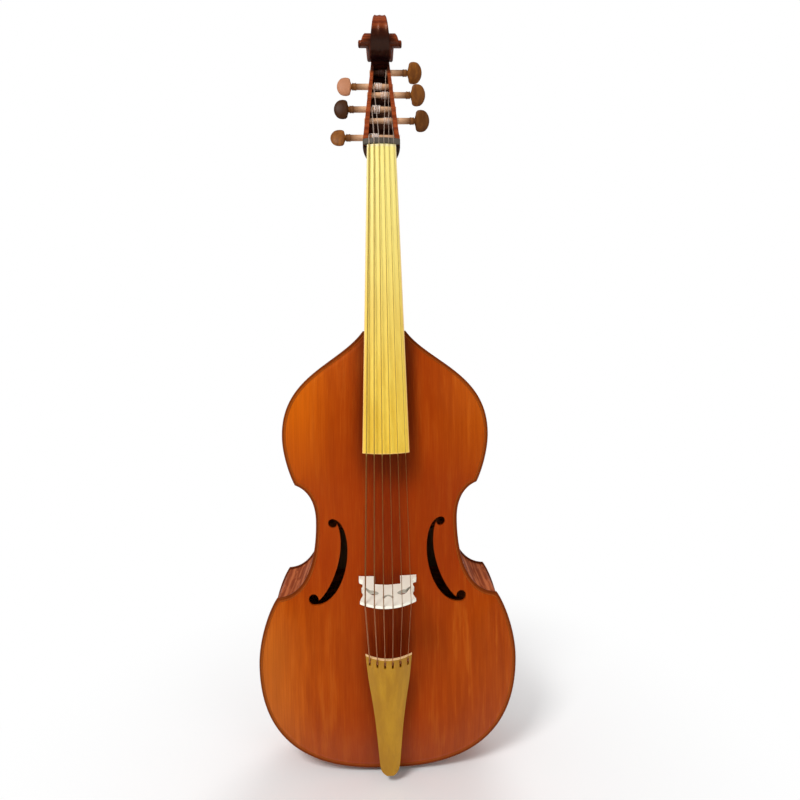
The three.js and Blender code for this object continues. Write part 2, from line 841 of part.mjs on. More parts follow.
function roundedSection(z, half, front, back, corner) {
  const inwards = corner * cornerCutShare;
  const right = [
    [half, front], [half, back - corner], [half - inwards, back - inwards], [half - corner, back],
  ];
  const left = [...right].reverse().map(([x, y]) => [-x, y]);
  return [...right, ...left].map(([x, y]) => at(x, y, z));
}

function pegboxBody() {
  const height = scrollCentre.z - pegboxBottom;
  return loft(pegboxShares.map((row) => {
    const z = pegboxBottom + row[0] * height;
    const section = pegboxAt(z);
    return roundedSection(z, section.half, section.front, section.back, section.half / 2);
  }));
}

function pegboxCavity() {
  const inner = pegboxShares.map((row) => pegboxBottom + row[0] * (scrollCentre.z - pegboxBottom));
  const bottom = pegboxBottom + cavityBottom;
  const top = bottom + cavityLength;
  const heights = [bottom, ...inner.filter((z) => z > bottom + cavityFloor && z < top - cavityFloor), top];
  return loft(heights.map((z) => {
    const section = pegboxAt(z);
    const half = section.half - cheek(z);
    const back = section.back - cavityFloor;
    const front = section.front - cutOverrun;
    return [at(half, front, z), at(half, back, z), at(-half, back, z), at(-half, front, z)];
  }));
}

// Scroll: a spiral whose radius shrinks and whose width grows from the crest in to the eye
const scrollSteps = 20;
const scrollStart = -0.06 * Math.PI;
const scrollCrest = 0.67 * Math.PI;
const scrollTighten = 2.5 * Math.PI;
const scrollEnd = 3.45 * Math.PI;
const scrollShrink = 0.62;

// How far it has widened: rows of [share of the way to the eye, share of the widening]
const scrollWidthShares = [[0, 0], [0.12, 0.17], [0.3, 0.4], [0.66, 0.6], [1, 1]];
const leastArea = 1e-6;

function scrollRadiusAt(angle) {
  if (angle < scrollCrest) return mix(scrollBackRadius, scrollRadius, angle / scrollCrest);
  const spiral = scrollRadius * scrollShrink ** ((Math.min(angle, scrollTighten) - scrollCrest) / Math.PI);
  return mix(spiral, scrollEyeRadius, Math.max(0, angle - scrollTighten) / (scrollEnd - scrollTighten));
}

function scrollHalfAt(angle) {
  const share = (angle - scrollCrest) / (scrollEnd - scrollCrest);
  if (share < 0) return mix(pegboxTopWidth, scrollCrestWidth, angle / scrollCrest) / 2;
  return mix(scrollCrestWidth, scrollEyeWidth, lookUp(scrollWidthShares, share)) / 2;
}

function scroll() {
  const count = Math.round((scrollEnd - scrollStart) / fullTurn * scrollSteps);
  const angle = (i) => scrollEnd - (count - i) * fullTurn / scrollSteps;
  const spot = (i, radius, x) => {
    const turn = angle(i % scrollSteps);
    return at(x, scrollCentre.y + radius * Math.cos(turn), scrollCentre.z + radius * Math.sin(turn));
  };
  const radius = (i) => (i >= count ? scrollEyeRadius : scrollRadiusAt(angle(i)));
  const half = (i) => scrollHalfAt(angle(i));
  const triangles = [];
  const quad = (a, b, c, d) => {
    for (const triangle of [[a, b, c], [a, c, d]]) {
      const area = triangle[1].clone().sub(triangle[0]).cross(triangle[2].clone().sub(triangle[0]));
      if (area.length() > leastArea) triangles.push(triangle);
    }
  };
  for (const side of [-1, 1]) {
    const outer = (i) => spot(i, radius(i), side * half(i));
    const foot = (i) => spot(i, radius(i + scrollSteps), side * half(i));
    const head = (i) => (i + scrollSteps <= count
      ? outer(i + scrollSteps)
      : spot(i, scrollEyeRadius, side * half(count)));
    for (let i = 0; i < count; i += 1) {
      quad(outer(i), outer(i + 1), foot(i + 1), foot(i));
      quad(foot(i), foot(i + 1), head(i + 1), head(i));
    }
    const centre = at(side * half(count), scrollCentre.y, scrollCentre.z);
    for (let i = count - scrollSteps; i < count; i += 1) {
      const rim = (k) => spot(k, scrollEyeRadius, side * half(count));
      triangles.push([centre, rim(i), rim(i + 1)]);
    }
  }
  const edge = (i, side) => spot(i, radius(i), side * half(i));
  for (let i = 0; i + 1 < scrollSteps; i += 1) {
    quad(edge(i, 1), edge(i + 1, 1), edge(i + 1, -1), edge(i, -1));
  }
  const inner = [1, -1].map((side) => spot(0, radius(scrollSteps), side * half(0)));
  quad(edge(0, 1), inner[0], inner[1], edge(0, -1));
  const last = scrollSteps - 1;
  quad(edge(last, 1), edge(last + 1, 1), inner[0], inner[1]);
  quad(edge(last, 1), inner[1], edge(last + 1, -1), edge(last, -1));
  return geometryFrom(orient(triangles));
}

// Pegs: where each one crosses the pegbox, its side, its string and the turn of its head
const pegShares = [
  { side: -1, string: 0, heightShare: 0.096, depthShare: 0.33, turn: 0.45 },
  { side: 1, string: 5, heightShare: 0.2635, depthShare: 0.33, turn: -0.3 },
  { side: -1, string: 1, heightShare: 0.3797, depthShare: 0.33, turn: 0.15 },
  { side: 1, string: 4, heightShare: 0.528, depthShare: 0.34, turn: -0.38 },
  { side: -1, string: 2, heightShare: 0.616, depthShare: 0.34, turn: 0.2 },
  { side: 1, string: 3, heightShare: 0.764, depthShare: 0.34, turn: -0.45 },
];

const pegs = pegShares.map((row) => {
  const z = pegboxBottom + row.heightShare * (scrollCentre.z - pegboxBottom);
  const section = pegboxAt(z);
  const y = mix(section.front, section.back, row.depthShare);
  return { ...row, y, z, half: section.half, inner: innerHalf(z) };
});

// Radius of a peg's shaft at a distance from the outside of its head-side cheek, inwards
function shaftRadius(peg, depth) {
  return mix(pegRadius, pegThinRadius, depth / (2 * peg.half + pegTail));
}

const pegSides = 14;

function pegRing(peg, x, tall, thick) {
  return Array.from({ length: pegSides }, (_, i) => {
    const angle = fullTurn * i / pegSides;
    const up = tall * Math.cos(angle);
    const out = thick * Math.sin(angle);
    const y = peg.y + up * Math.sin(peg.turn) + out * Math.cos(peg.turn);
    return at(peg.side * x, y, peg.z + up * Math.cos(peg.turn) - out * Math.sin(peg.turn));
  });
}

// The oval head: rows of [length share, share of its diameter, share of its thickness]
const pegHeadShares = [
  [0.03, 0.5, 0.8], [0.07, 0.8, 0.95], [0.2, 0.96, 1], [0.38, 1, 1], [0.56, 0.97, 0.94], [0.73, 0.86, 0.84],
  [0.88, 0.62, 0.64], [0.97, 0.34, 0.42], [1, 0.14, 0.18],
];

// The turned collar beside it: rows of [length share, radius]
const collarShares = [
  [0, pegRadius], [0.15, pegCollarRadius], [0.7, pegCollarRadius], [0.9, pegThroatRadius],
];

function pegBody(peg) {
  const thin = -peg.half - pegTail;
  const collar = peg.half + pegExposed - pegCollar;
  const head = peg.half + pegExposed;
  const rings = [
    pegRing(peg, thin, pegThinRadius - pegRunningGap, pegThinRadius - pegRunningGap),
    pegRing(peg, thin + pegRunningGap, pegThinRadius, pegThinRadius),
    pegRing(peg, peg.half, pegRadius, pegRadius),
    ...collarShares.map(([share, radius]) => pegRing(peg, mix(collar, head, share), radius, radius)),
  ];
  for (const [share, tall, thick] of pegHeadShares) {
    const x = head + share * pegHeadLength;
    rings.push(pegRing(peg, x, tall * pegHeadDiameter / 2, thick * pegHeadThickness / 2));
  }
  return loft(rings);
}

const boreSides = 16;

function pegBore(peg) {
  const reach = peg.half + cutOverrun;
  const widen = 1 / Math.cos(Math.PI / boreSides);
  const rings = [reach, -reach].map((x) => {
    const radius = (shaftRadius(peg, peg.half - x) + pegRunningGap) * widen;
    return Array.from({ length: boreSides }, (_, i) => {
      const angle = fullTurn * i / boreSides;
      return at(peg.side * x, peg.y + radius * Math.sin(angle), peg.z + radius * Math.cos(angle));
    });
  });
  return loft(rings);
}

function makePegbox() {
  const head = shell(solid(pegboxBody()).add(solid(scroll())));
  add('pegbox_with_scroll', cut(head, [pegboxCavity(), ...pegs.map(pegBore)]), woods.maple);
}

// Strings: a straight run from the tailpiece over bridge and nut, and a winding on each peg

const stringSides = 6;

function tube(points, radius) {
  const tangents = points.map((point, i) => {
    const before = points[Math.max(0, i - 1)];
    const after = points[Math.min(points.length - 1, i + 1)];
    return after.clone().sub(before).normalize();
  });
  const side = at(1, 0, 0);
  let u = side.clone().addScaledVector(tangents[0], -side.dot(tangents[0])).normalize();
  const rings = points.map((point, i) => {
    u = u.clone().addScaledVector(tangents[i], -u.dot(tangents[i])).normalize();
    const v = tangents[i].clone().cross(u);
    return Array.from({ length: stringSides }, (_, k) => {
      const angle = fullTurn * k / stringSides;
      const out = u.clone().multiplyScalar(Math.cos(angle)).addScaledVector(v, Math.sin(angle));
      return point.clone().addScaledVector(out, radius);
    });
  });
  return loft(rings);
}

function stringPlace(index, span) {
  const share = 2 * index / (stringDiameters.length - 1) - 1;
  return share * span / 2;
}

const windingSteps = 18;

// Where a string touches its peg: the winding starts beside it, towards the middle of the pegbox
function pegContact(peg) {
  const radius = stringDiameters[peg.string] / 2;
  const x = peg.side * (peg.inner - radius - 2 * windingGap);
  const reach = shaftRadius(peg, peg.half - peg.inner) + stringGap + radius;
  const nut = nutPoint(peg.string);
  const away = Math.hypot(peg.y - nut.y, peg.z - nut.z);
  const slope = Math.atan2(peg.z - nut.z, peg.y - nut.y) + Math.asin(reach / away);
  return { x, reach, angle: slope + Math.PI / 2 };
}

function windingPoints(peg) {
  const radius = stringDiameters[peg.string] / 2;
  const contact = pegContact(peg);
  const start = contact.x - peg.side * (2 * radius + windingGap);
  const steps = Math.round(windingTurns * windingSteps);
  const points = Array.from({ length: steps + 1 }, (_, i) => {
    const turn = i / windingSteps;
    const x = start - peg.side * windingPitch * turn;
    const angle = contact.angle - fullTurn * turn;
    const reach = shaftRadius(peg, peg.half - peg.side * x) + stringGap + radius;
    return at(x, peg.y + reach * Math.cos(angle), peg.z + reach * Math.sin(angle));
  });
  const ends = [[points[0], points[1]], [points[steps], points[steps - 1]]].map(([tip, next]) => (
    tip.clone().addScaledVector(tip.clone().sub(next).normalize(), 2 * radius)
  ));
  return [ends[0], ...points, ends[1]];
}

function selfGap(points, diameter) {
  let least = Infinity;
  for (let i = 0; i < points.length; i += 1) {
    for (let j = i + windingSteps / 2; j < points.length; j += 1) {
      least = Math.min(least, points[i].distanceTo(points[j]) - diameter);
    }
  }
  return least;
}

function makePegs() {
  pegs.forEach((peg) => {
    const number = peg.string + 1;
    add(`peg_${number}`, pegBody(peg), woods.peg);
    const points = windingPoints(peg);
    const diameter = stringDiameters[peg.string];
    add(`string_winding_${number}`, tube(points, diameter / 2), woods.gut);
    console.log(`winding ${number}: least gap to itself ${selfGap(points, diameter).toFixed(2)} mm`);
  });
}

function crownDrop(x) {
  const share = 2 * x / bridgeCrownSpan;
  return bridgeCrownDrop * share ** 2 + bridgeCrownTilt * share;
}

function nutTop(x) {
  return fingerboardCrownAtNut - nutRise + sagitta(x, fingerboardArchRadius);
}

// Where a string leaves the nut on its way down to its peg
function nutPoint(index) {
  const lift = stringDiameters[index] / 2 + stringGap;
  const x = stringPlace(index, stringSpanAtNut);
  return at(x, nutTop(x) - lift, nutBottom + nutLength + lift);
}

function tailpieceTop(x, z) {
  const share = (z - tailpieceBottom) / tailpieceLength;
  return mix(tailpieceHeel, tailpieceCrown, share) + tailpieceArch * (2 * x / tailpieceWidth) ** 2;
}

const tailpieceEnd = tailpieceBottom + tailpieceLength;

function makeStrings() {
  pegs.forEach((peg) => {
    const radius = stringDiameters[peg.string] / 2;
    const lift = radius + stringGap;
    const tailX = stringPlace(peg.string, tailpieceStringSpan);
    const bridgeX = stringPlace(peg.string, bridgeStringSpan);
    const slotEnd = tailpieceEnd - slotSetback - slotLength / 2;
    const inside = tailpieceTop(tailX, slotEnd) + tailpieceThickness / 2;
    const bridgeY = bridgeCrown + crownDrop(bridgeX) - lift;
    const contact = pegContact(peg);
    const nut = nutPoint(peg.string);
    const points = [
      at(tailX, inside, slotEnd - radius),
      at(tailX, tailpieceTop(tailX, slotEnd) - radius, slotEnd + radius),
      at(tailX, tailpieceTop(tailX, tailpieceEnd) - 2 * lift, tailpieceEnd),
      at(bridgeX, bridgeY, bridgePlace),
      at(bridgeX, bridgeY, bridgeTop),
      at(nut.x, nut.y, nutBottom),
      nut,
      at(
        contact.x,
        peg.y + contact.reach * Math.cos(contact.angle),
        peg.z + contact.reach * Math.sin(contact.angle),
      ),
    ];
    add(`string_${peg.string + 1}`, tube(points, radius), woods.gut);
  });
}

// Bridge: its side from the foot to the crown, as shares of the half foot span and of the height
const bridgeSideShares = [
  [0.98, 0.09], [0.86, 0.14], [0.845, 0.36], [0.875, 0.42], [0.82, 0.51], [0.8, 0.6], [0.825, 0.68],
  [0.87, 0.75],
];
const bridgeArchShare = 0.33;
const bridgeLegShare = 0.3;
const footSteps = 4;
const crownSteps = 8;

function bridgeOutline() {
  const footHalf = bridgeFootSpan / 2;
  const footInner = footHalf - bridgeFootWidth;
  const baseline = bellyOutside(footHalf, bridgePlace) - glueGap;
  const height = baseline - bridgeCrown;
  const up = (share) => baseline - share * height;
  const underside = [[0, bridgeArchShare], [footInner, bridgeLegShare]];
  const right = underside.map(([x, share]) => new THREE.Vector2(x, up(share)));
  for (let i = 0; i <= footSteps; i += 1) {
    const x = mix(footInner, footHalf, i / footSteps);
    const below = [0, 0.5, 1].map((share) => bellyOutside(x, bridgePlace + share * bridgeFootLength));
    right.push(new THREE.Vector2(x, Math.min(...below) - glueGap));
  }
  for (const [xShare, upShare] of bridgeSideShares) {
    right.push(new THREE.Vector2(xShare * footHalf, up(upShare)));
  }
  const crown = Array.from({ length: crownSteps + 1 }, (_, i) => {
    const x = (1 / 2 - i / crownSteps) * bridgeCrownSpan;
    return new THREE.Vector2(x, bridgeCrown + crownDrop(x));
  });
  const left = right.slice(1).reverse().map((p) => new THREE.Vector2(-p.x, p.y));
  return { outline: [...right, ...crown, ...left], up, baseline, height };
}

// Kidney holes and the heart, as shares of the half foot span and of the bridge's height
const kidneyShares = [
  [0.3, 0.59], [0.38, 0.54], [0.5, 0.5], [0.6, 0.49], [0.7, 0.42], [0.775, 0.39], [0.74, 0.45],
  [0.68, 0.52], [0.6, 0.6], [0.48, 0.65], [0.36, 0.64],
];
const heartShares = [[0, 0.65], [0.1, 0.67], [0.175, 0.715], [0.14, 0.765], [0.08, 0.72], [0, 0.69]];

function makeBridge() {
  const { outline, up, baseline, height } = bridgeOutline();
  const footHalf = bridgeFootSpan / 2;
  const lengthAt = (y) => mix(bridgeFootLength, bridgeCrownLength, Math.max(0, (baseline - y) / height));
  const body = loft([
    outline.map((p) => at(p.x, p.y, bridgePlace)),
    outline.map((p) => at(p.x, p.y, bridgePlace + lengthAt(p.y))),
  ]);
  const holes = [-1, 1].map((side) => kidneyShares.map(([x, share]) => [side * x, share]));
  holes.push([...heartShares, ...heartShares.slice(1, -1).reverse().map(([x, share]) => [-x, share])]);
  const tools = holes.map((hole) => loft([-cutOverrun, bridgeFootLength + cutOverrun].map((dz) => (
    hole.map(([x, share]) => at(x * footHalf, up(share), bridgePlace + dz))
  ))));
  add('bridge', cut(body, tools), woods.bridge);
}

// Tailpiece: an arched board, narrow and rounded at the bottom, seated on the hook bar
const tailpieceHalfShares = [
  [0, 0.15], [0.02, 0.3], [0.045, 0.38], [0.085, 0.435], [0.24, 0.507], [0.45, 0.61], [0.65, 0.75],
  [0.81, 0.89], [1, 1],
];
const tailpieceColumns = [-1, -0.66, -0.33, 0, 0.33, 0.66, 1];

// The upright of the hook bar stands behind the tailpiece and its tip enters a pocket there
function hookFace(z) {
  return tailpieceTop(hookWidth / 2, z) + tailpieceThickness + 2 * glueGap;
}

const hookTipFront = hookFace(hookHeight) - hookTipThickness / 2 - 2 * glueGap;

function makeTailpiece() {
  const rings = tailpieceHalfShares.map(([share, widthShare]) => {
    const z = tailpieceBottom + share * tailpieceLength;
    const half = widthShare * tailpieceWidth / 2;
    const top = tailpieceColumns.map((column) => at(column * half, tailpieceTop(column * half, z), z));
    const under = [...top].reverse().map((p) => at(p.x, p.y + tailpieceThickness, z));
    return [...top, ...under];
  });
  const tools = stringDiameters.map((_, index) => {
    const x = stringPlace(index, tailpieceStringSpan);
    const to = tailpieceEnd - slotSetback;
    const front = tailpieceCrown - cutOverrun;
    const back = tailpieceCrown + tailpieceArch + tailpieceThickness + cutOverrun;
    return block(x - slotWidth / 2, x + slotWidth / 2, front, back, to - slotLength, to);
  });
  const half = hookWidth / 2 + glueGap;
  const pocket = [hookHeight - hookTipThickness - glueGap, hookHeight + glueGap];
  tools.push(block(-half, half, hookTipFront - glueGap, hookTipFront + cutOverrun, pocket[0], pocket[1]));
  add('tailpiece', cut(loft(rings), tools), woods.tail);
}

function makeHookBar() {
  const ribFace = edgeOverhang - glueGap;
  const under = -glueGap;
  const bottom = under - hookBarThickness;
  const tipBottom = hookHeight - hookTipThickness;
  const outline = [
    [hookBarDepth, ribFace], [glueGap, ribFace], [glueGap, under], [-hookBend, under],
    [hookFace(edgeOverhang) + hookBarThickness, edgeOverhang],
    [hookFace(hookHeight) + hookBarThickness, hookHeight],
    [hookTipFront, hookHeight], [hookTipFront, tipBottom], [hookFace(tipBottom), tipBottom],
    [hookFace(edgeOverhang), edgeOverhang], [-plateThickness, bottom], [hookBarDepth, bottom],
  ];
  const rings = [-hookWidth / 2, hookWidth / 2].map((x) => outline.map(([y, z]) => at(x, y, z)));
  add('tail_hook_bar', loft(rings), woods.ebony);
}

makePlates();
for (const [sideName, side] of [['left', -1], ['right', 1]]) {
  makeRibs(sideName, side);
  makeLinings(sideName, side);
}
makeBlocks();
makeBraces();
makeBassBar();
makeSoundPost();
makeFingerboard();
makeNeck();
makeNut();
makePegbox();
makePegs();
makeStrings();
makeBridge();
makeTailpiece();
makeHookBar();

export default viol;
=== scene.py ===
"""A six-string bass viola da gamba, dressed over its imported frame.

Metres, +Z up along the neck, the belly faces -Y. The origin lies on the centre line, at the
bottom of the body, in the joint between the belly and the ribs.
"""
import math
import json
from types import SimpleNamespace

import bpy
import bmesh
import numpy as np
from mathutils import Matrix, Vector


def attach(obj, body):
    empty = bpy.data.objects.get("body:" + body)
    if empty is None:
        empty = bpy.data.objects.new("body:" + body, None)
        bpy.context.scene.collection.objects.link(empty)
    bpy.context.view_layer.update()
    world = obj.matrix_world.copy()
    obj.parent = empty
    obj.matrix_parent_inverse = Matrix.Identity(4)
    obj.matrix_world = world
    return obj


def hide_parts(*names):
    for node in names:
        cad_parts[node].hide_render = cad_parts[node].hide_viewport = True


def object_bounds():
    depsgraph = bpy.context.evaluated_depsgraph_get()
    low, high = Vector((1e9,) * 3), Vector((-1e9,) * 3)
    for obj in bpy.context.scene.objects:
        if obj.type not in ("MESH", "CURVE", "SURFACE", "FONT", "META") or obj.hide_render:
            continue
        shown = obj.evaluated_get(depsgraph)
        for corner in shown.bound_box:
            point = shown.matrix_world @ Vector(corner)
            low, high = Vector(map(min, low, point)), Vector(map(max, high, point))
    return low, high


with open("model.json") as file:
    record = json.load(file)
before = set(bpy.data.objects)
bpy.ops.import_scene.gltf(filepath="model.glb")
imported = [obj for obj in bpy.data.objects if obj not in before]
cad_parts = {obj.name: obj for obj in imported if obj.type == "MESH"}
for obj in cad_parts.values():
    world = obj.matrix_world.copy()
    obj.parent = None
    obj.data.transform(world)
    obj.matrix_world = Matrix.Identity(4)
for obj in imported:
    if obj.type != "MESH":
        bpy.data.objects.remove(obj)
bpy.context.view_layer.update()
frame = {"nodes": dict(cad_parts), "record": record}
SLOTS = {row["node"]: row["material_slot"] for row in frame["record"]["subparts"]}

MM = 0.001
FULL_TURN = 2 * math.pi
ROOT = "instrument"

# Body, as in the solids
BODY_LENGTH = 690 * MM
UPPER_HALF = 162 * MM
UPPER_CORNER_HALF = 143 * MM
WAIST_HALF = 111 * MM
LOWER_CORNER_HALF = 173 * MM
LOWER_HALF = 202.5 * MM
NECK_HALF = 33.5 * MM
TAIL_HALF = 12 * MM
RIB_DEPTH = 112 * MM
RIB_DEPTH_AT_NECK = 62 * MM
FOLD_HEIGHT = 0.764 * BODY_LENGTH
RIB_THICKNESS = 2 * MM
EDGE_OVERHANG = 3 * MM
PLATE_THICKNESS = 4 * MM
GLUE_GAP = 0.3 * MM

# Arching of the belly, finer at the edge than in the solids
EDGE_ROUND = 1.6 * MM
ARCH_HEIGHT = 21.5 * MM
ARCH_REACH = 105.3 * MM
ARCH_EASE = 1.25
ARCH_POWER = 2.2
BEAD_HEIGHT = 0.7 * MM
BEAD_WIDTH = 2.6 * MM
CHANNEL_DEPTH = 0.5 * MM
CHANNEL_PLACE = 7 * MM
CHANNEL_WIDTH = 2.4 * MM
RIM_SAMPLE = 2.5 * MM
RIM_POWER = 12
SOFT_START = 8 * MM
SOFT_END = 24 * MM

# Sound holes
HOLE_LENGTH = 133 * MM
HOLE_REACH = 53.6 * MM
HOLE_INSET = 61.2 * MM
HOLE_BOTTOM = 265.515 * MM
HOLE_STEM = 10.7 * MM
HOLE_TOP_EYE = 7 * MM
HOLE_BOTTOM_EYE = 8 * MM

# Neck, fingerboard and nut
NECK_TOP = 985 * MM
NECK_ROOT = 98 * MM
NECK_ROUNDNESS = 0.75
SHOULDER_LENGTH = 21 * MM
SHOULDER_POWER = 2.4
DARK_TOP_LENGTH = 27 * MM
DARK_TOP_DEPTH = 11 * MM
DARK_TOP_BLEND = 4 * MM
BOARD_LENGTH = 475 * MM
BOARD_BOTTOM = NECK_TOP - BOARD_LENGTH
BOARD_END_HALF = 34.5 * MM
BOARD_NUT_HALF = 23 * MM
BOARD_EDGE = 5.5 * MM
BOARD_RADIUS = 68 * MM
BOARD_CROWN_AT_NUT = 2 * MM
BOARD_CROWN_AT_END = -72.05 * MM
BOARD_BEVEL = 0.7 * MM
NUT_LENGTH = 9 * MM
NUT_RISE = 1.6 * MM
NUT_HALF = 29.7 * MM
NUT_BOTTOM = NECK_TOP + GLUE_GAP
NUT_BEVEL = 1.1 * MM

# Pegbox and scroll
PEGBOX_LENGTH = 187 * MM
PEGBOX_DEPTH = 40 * MM
PEGBOX_LEAN = 48.3 * MM
PEGBOX_TOP_HALF = 12.2 * MM
CHEEK_AT_NUT = 8 * MM
CHEEK_AT_TOP = 5.2 * MM
CAVITY_BOTTOM = NUT_BOTTOM + 8.5 * MM
CAVITY_LENGTH = 144 * MM
CAVITY_FLOOR = 9 * MM
WOOD_BEVEL = 0.8 * MM
SCROLL_CENTRE = (60 * MM, NECK_TOP + PEGBOX_LENGTH)
SCROLL_RADIUS = 42 * MM
SCROLL_BACK_RADIUS = 44 * MM
SCROLL_EYE_RADIUS = 6 * MM
SCROLL_CREST_HALF = 10.3 * MM
SCROLL_EYE_HALF = 36.5 * MM
SCROLL_CREST = 0.67 * math.pi
SCROLL_START = -0.06 * math.pi
SCROLL_TIGHTEN = 2.5 * math.pi
SCROLL_END = 3.45 * math.pi
SCROLL_SHRINK = 0.62
SCROLL_WIDTH_SHARES = [(0, 0), (0.12, 0.17), (0.3, 0.4), (0.66, 0.6), (1, 1)]
FLUTE_DEPTH = 0.8 * MM
FLUTE_FADE = 0.6
CHAMFER = 1.8 * MM
HOLLOW_DEPTH = 1.6 * MM

# Pegs and strings
PEG_RADIUS = 5 * MM
PEG_THIN_RADIUS = 4.3 * MM
PEG_TAIL = 1.5 * MM
PEG_EXPOSED = 30 * MM
PEG_COLLAR = 9 * MM
PEG_HEAD_LENGTH = 23.5 * MM
PEG_HEAD_HALF = 17 * MM
PEG_HEAD_THICKNESS = 5.25 * MM
PEG_GAP = 0.3 * MM
STRING_RADII = [radius * MM for radius in (1, 0.8, 0.65, 0.55, 0.45, 0.4)]
STRING_GAP = 0.35 * MM
STRING_BEND = 1.2 * MM
NUT_STRING_SPAN = 39 * MM
WINDING_TURNS = 4
WINDING_PITCH = 2.7 * MM
WINDING_GAP = 0.6 * MM

# Bridge, tailpiece and the slots for the strings
BRIDGE_PLACE = 306.015 * MM
BRIDGE_FOOT_LENGTH = 8 * MM
BRIDGE_CROWN_LENGTH = 3.5 * MM
BRIDGE_FOOT_HALF = 44.2 * MM
BRIDGE_FOOT_WIDTH = 25 * MM
BRIDGE_CROWN_HALF = 39.5 * MM
BRIDGE_CROWN = -114 * MM
BRIDGE_CROWN_DROP = 17.4 * MM
BRIDGE_CROWN_TILT = 2.1 * MM
BRIDGE_STRING_SPAN = 64 * MM
BRIDGE_BEVEL = 0.4 * MM
TAILPIECE_LENGTH = 202 * MM
TAILPIECE_BOTTOM = 8 * MM
TAILPIECE_HALF = 34.35 * MM
TAILPIECE_CROWN = -71 * MM
TAILPIECE_HEEL = -31 * MM
TAILPIECE_THICKNESS = 6.5 * MM
TAILPIECE_ARCH = 14.5 * MM
TAILPIECE_STRING_SPAN = 56.4 * MM
TAILPIECE_END = TAILPIECE_BOTTOM + TAILPIECE_LENGTH
TAILPIECE_END_SHARE = 0.6
TAILPIECE_THINNING = 16 * MM
SLOT_WIDTH = 3 * MM
SLOT_LENGTH = 11 * MM
SLOT_SETBACK = 4 * MM
HOOK_HALF = 6 * MM
HOOK_HEIGHT = 27 * MM
HOOK_TIP = 6 * MM
CUT_OVERRUN = 12 * MM


# The camera that the photograph was fitted to

def make_camera():
    position = Vector((-5.259, -847.807, 668.907)) * MM
    yaw = 0.0345993
    pitch = -0.0109090
    roll = -0.0135092
    sensor = 36
    focal_share = 537.99 / 800
    data = bpy.data.cameras.new("camera")
    data.sensor_width = sensor
    data.lens = sensor * focal_share
    data.shift_x = 0.0005
    data.shift_y = -0.0625
    data.clip_start = 0.01
    camera = bpy.data.objects.new("camera", data)
    bpy.context.scene.collection.objects.link(camera)
    aim = Matrix.Rotation(-yaw, 4, "Z") @ Matrix.Rotation(math.pi / 2 + pitch, 4, "X")
    camera.matrix_world = Matrix.Translation(position) @ aim @ Matrix.Rotation(roll, 4, "Z")
    bpy.context.scene.camera = camera


# Mesh tools

def mix(a, b, share):
    return a + (b - a) * share


def ramp(value, first, last):
    """0 at the first value, 1 at the last, even between them and level outside."""
    return np.clip((value - first) / (last - first), 0, 1)


def runs(rows):
    """Even steps through each row of start, end and count."""
    return np.concatenate([np.linspace(*row) for row in rows])


def smooth_table(rows, place):
    """A smooth curve through the rows of (place, value), which never overshoots them."""
    x, y = np.array(rows).T
    slope = np.diff(y) / np.diff(x)
    same = slope[1:] * slope[:-1] > 0
    both = np.where(same, slope[1:] + slope[:-1], 1)
    inner = np.where(same, 2 * slope[1:] * slope[:-1] / both, 0)
    tangent = np.concatenate([slope[:1], inner, slope[-1:]])
    place = np.clip(place, x[0], x[-1])
    i = np.clip(np.searchsorted(x, place) - 1, 0, len(x) - 2)
    width = x[i + 1] - x[i]
    t = (place - x[i]) / width
    first = (1 + 2 * t) * (1 - t) ** 2 * y[i] + t * (1 - t) ** 2 * width * tangent[i]
    last = t * t * (3 - 2 * t) * y[i + 1] + t * t * (t - 1) * width * tangent[i + 1]
    return first + last


def shade(obj, degrees=35):
    obj.data.shade_smooth()
    obj.data.set_sharp_from_angle(angle=math.radians(degrees))


def outward_normals(mesh, weld=None):
    """Turns all faces outwards, after joining the points that lie within the weld distance."""
    work = bmesh.new()
    work.from_mesh(mesh)
    if weld:
        bmesh.ops.remove_doubles(work, verts=work.verts, dist=weld)
    bmesh.ops.recalc_face_normals(work, faces=work.faces)
    work.to_mesh(mesh)
    work.free()


def build(name, vertices, faces, degrees=35):
    mesh = bpy.data.meshes.new(name)
    mesh.from_pydata([tuple(v) for v in vertices], [], faces)
    outward_normals(mesh)
    obj = bpy.data.objects.new(name, mesh)
    bpy.context.scene.collection.objects.link(obj)
    shade(obj, degrees)
    return obj


def grid_faces(rows, columns, start=0, closed=False):
    """Quads of a grid of points stored row by row. A closed grid joins each row's ends."""
    faces = []
    for i in range(rows - 1):
        for j in range(columns if closed else columns - 1):
            k = (j + 1) % columns
            a = start + i * columns
            b = a + columns
            faces.append((a + j, a + k, b + k, b + j))
    return faces


def add_grid(vertices, faces, rows, closed=False):
    """Adds rows of points to the lists of a mesh that is being put together."""
    faces += grid_faces(len(rows), len(rows[0]), len(vertices), closed)
    vertices += [point for row in rows for point in row]


def loft(name, rings, degrees=35):
    """A closed solid through rings with the same number of points."""
    rings = np.array(rings)
    count, sides = rings.shape[:2]
    faces = grid_faces(count, sides, closed=True)
    faces.append(tuple(range(sides)))
    faces.append(tuple(range((count - 1) * sides, count * sides)))
    return build(name, rings.reshape(-1, 3), faces, degrees)


def prism(name, outline, front, back):
    """An outline of (x, z) points drawn out along Y."""
    return loft(name, [[(x, y, z) for x, z in outline] for y in (front, back)])


def box_solid(name, low, high):
    x0, y0, z0 = low
    x1, y1, z1 = high
    return prism(name, [(x0, z0), (x1, z0), (x1, z1), (x0, z1)], y0, y1)


def carve(obj, tools):
    """Cuts the tools out of the object's mesh and removes them."""
    for tool in tools:
        cutter = obj.modifiers.new("cut", "BOOLEAN")
        cutter.operation = "DIFFERENCE"
        cutter.solver = "EXACT"
        cutter.object = tool
        shown = obj.evaluated_get(bpy.context.evaluated_depsgraph_get())
        mesh = bpy.data.meshes.new_from_object(shown)
        obj.modifiers.clear()
        obj.data = mesh
        bpy.data.objects.remove(tool)
    shade(obj)
    return obj


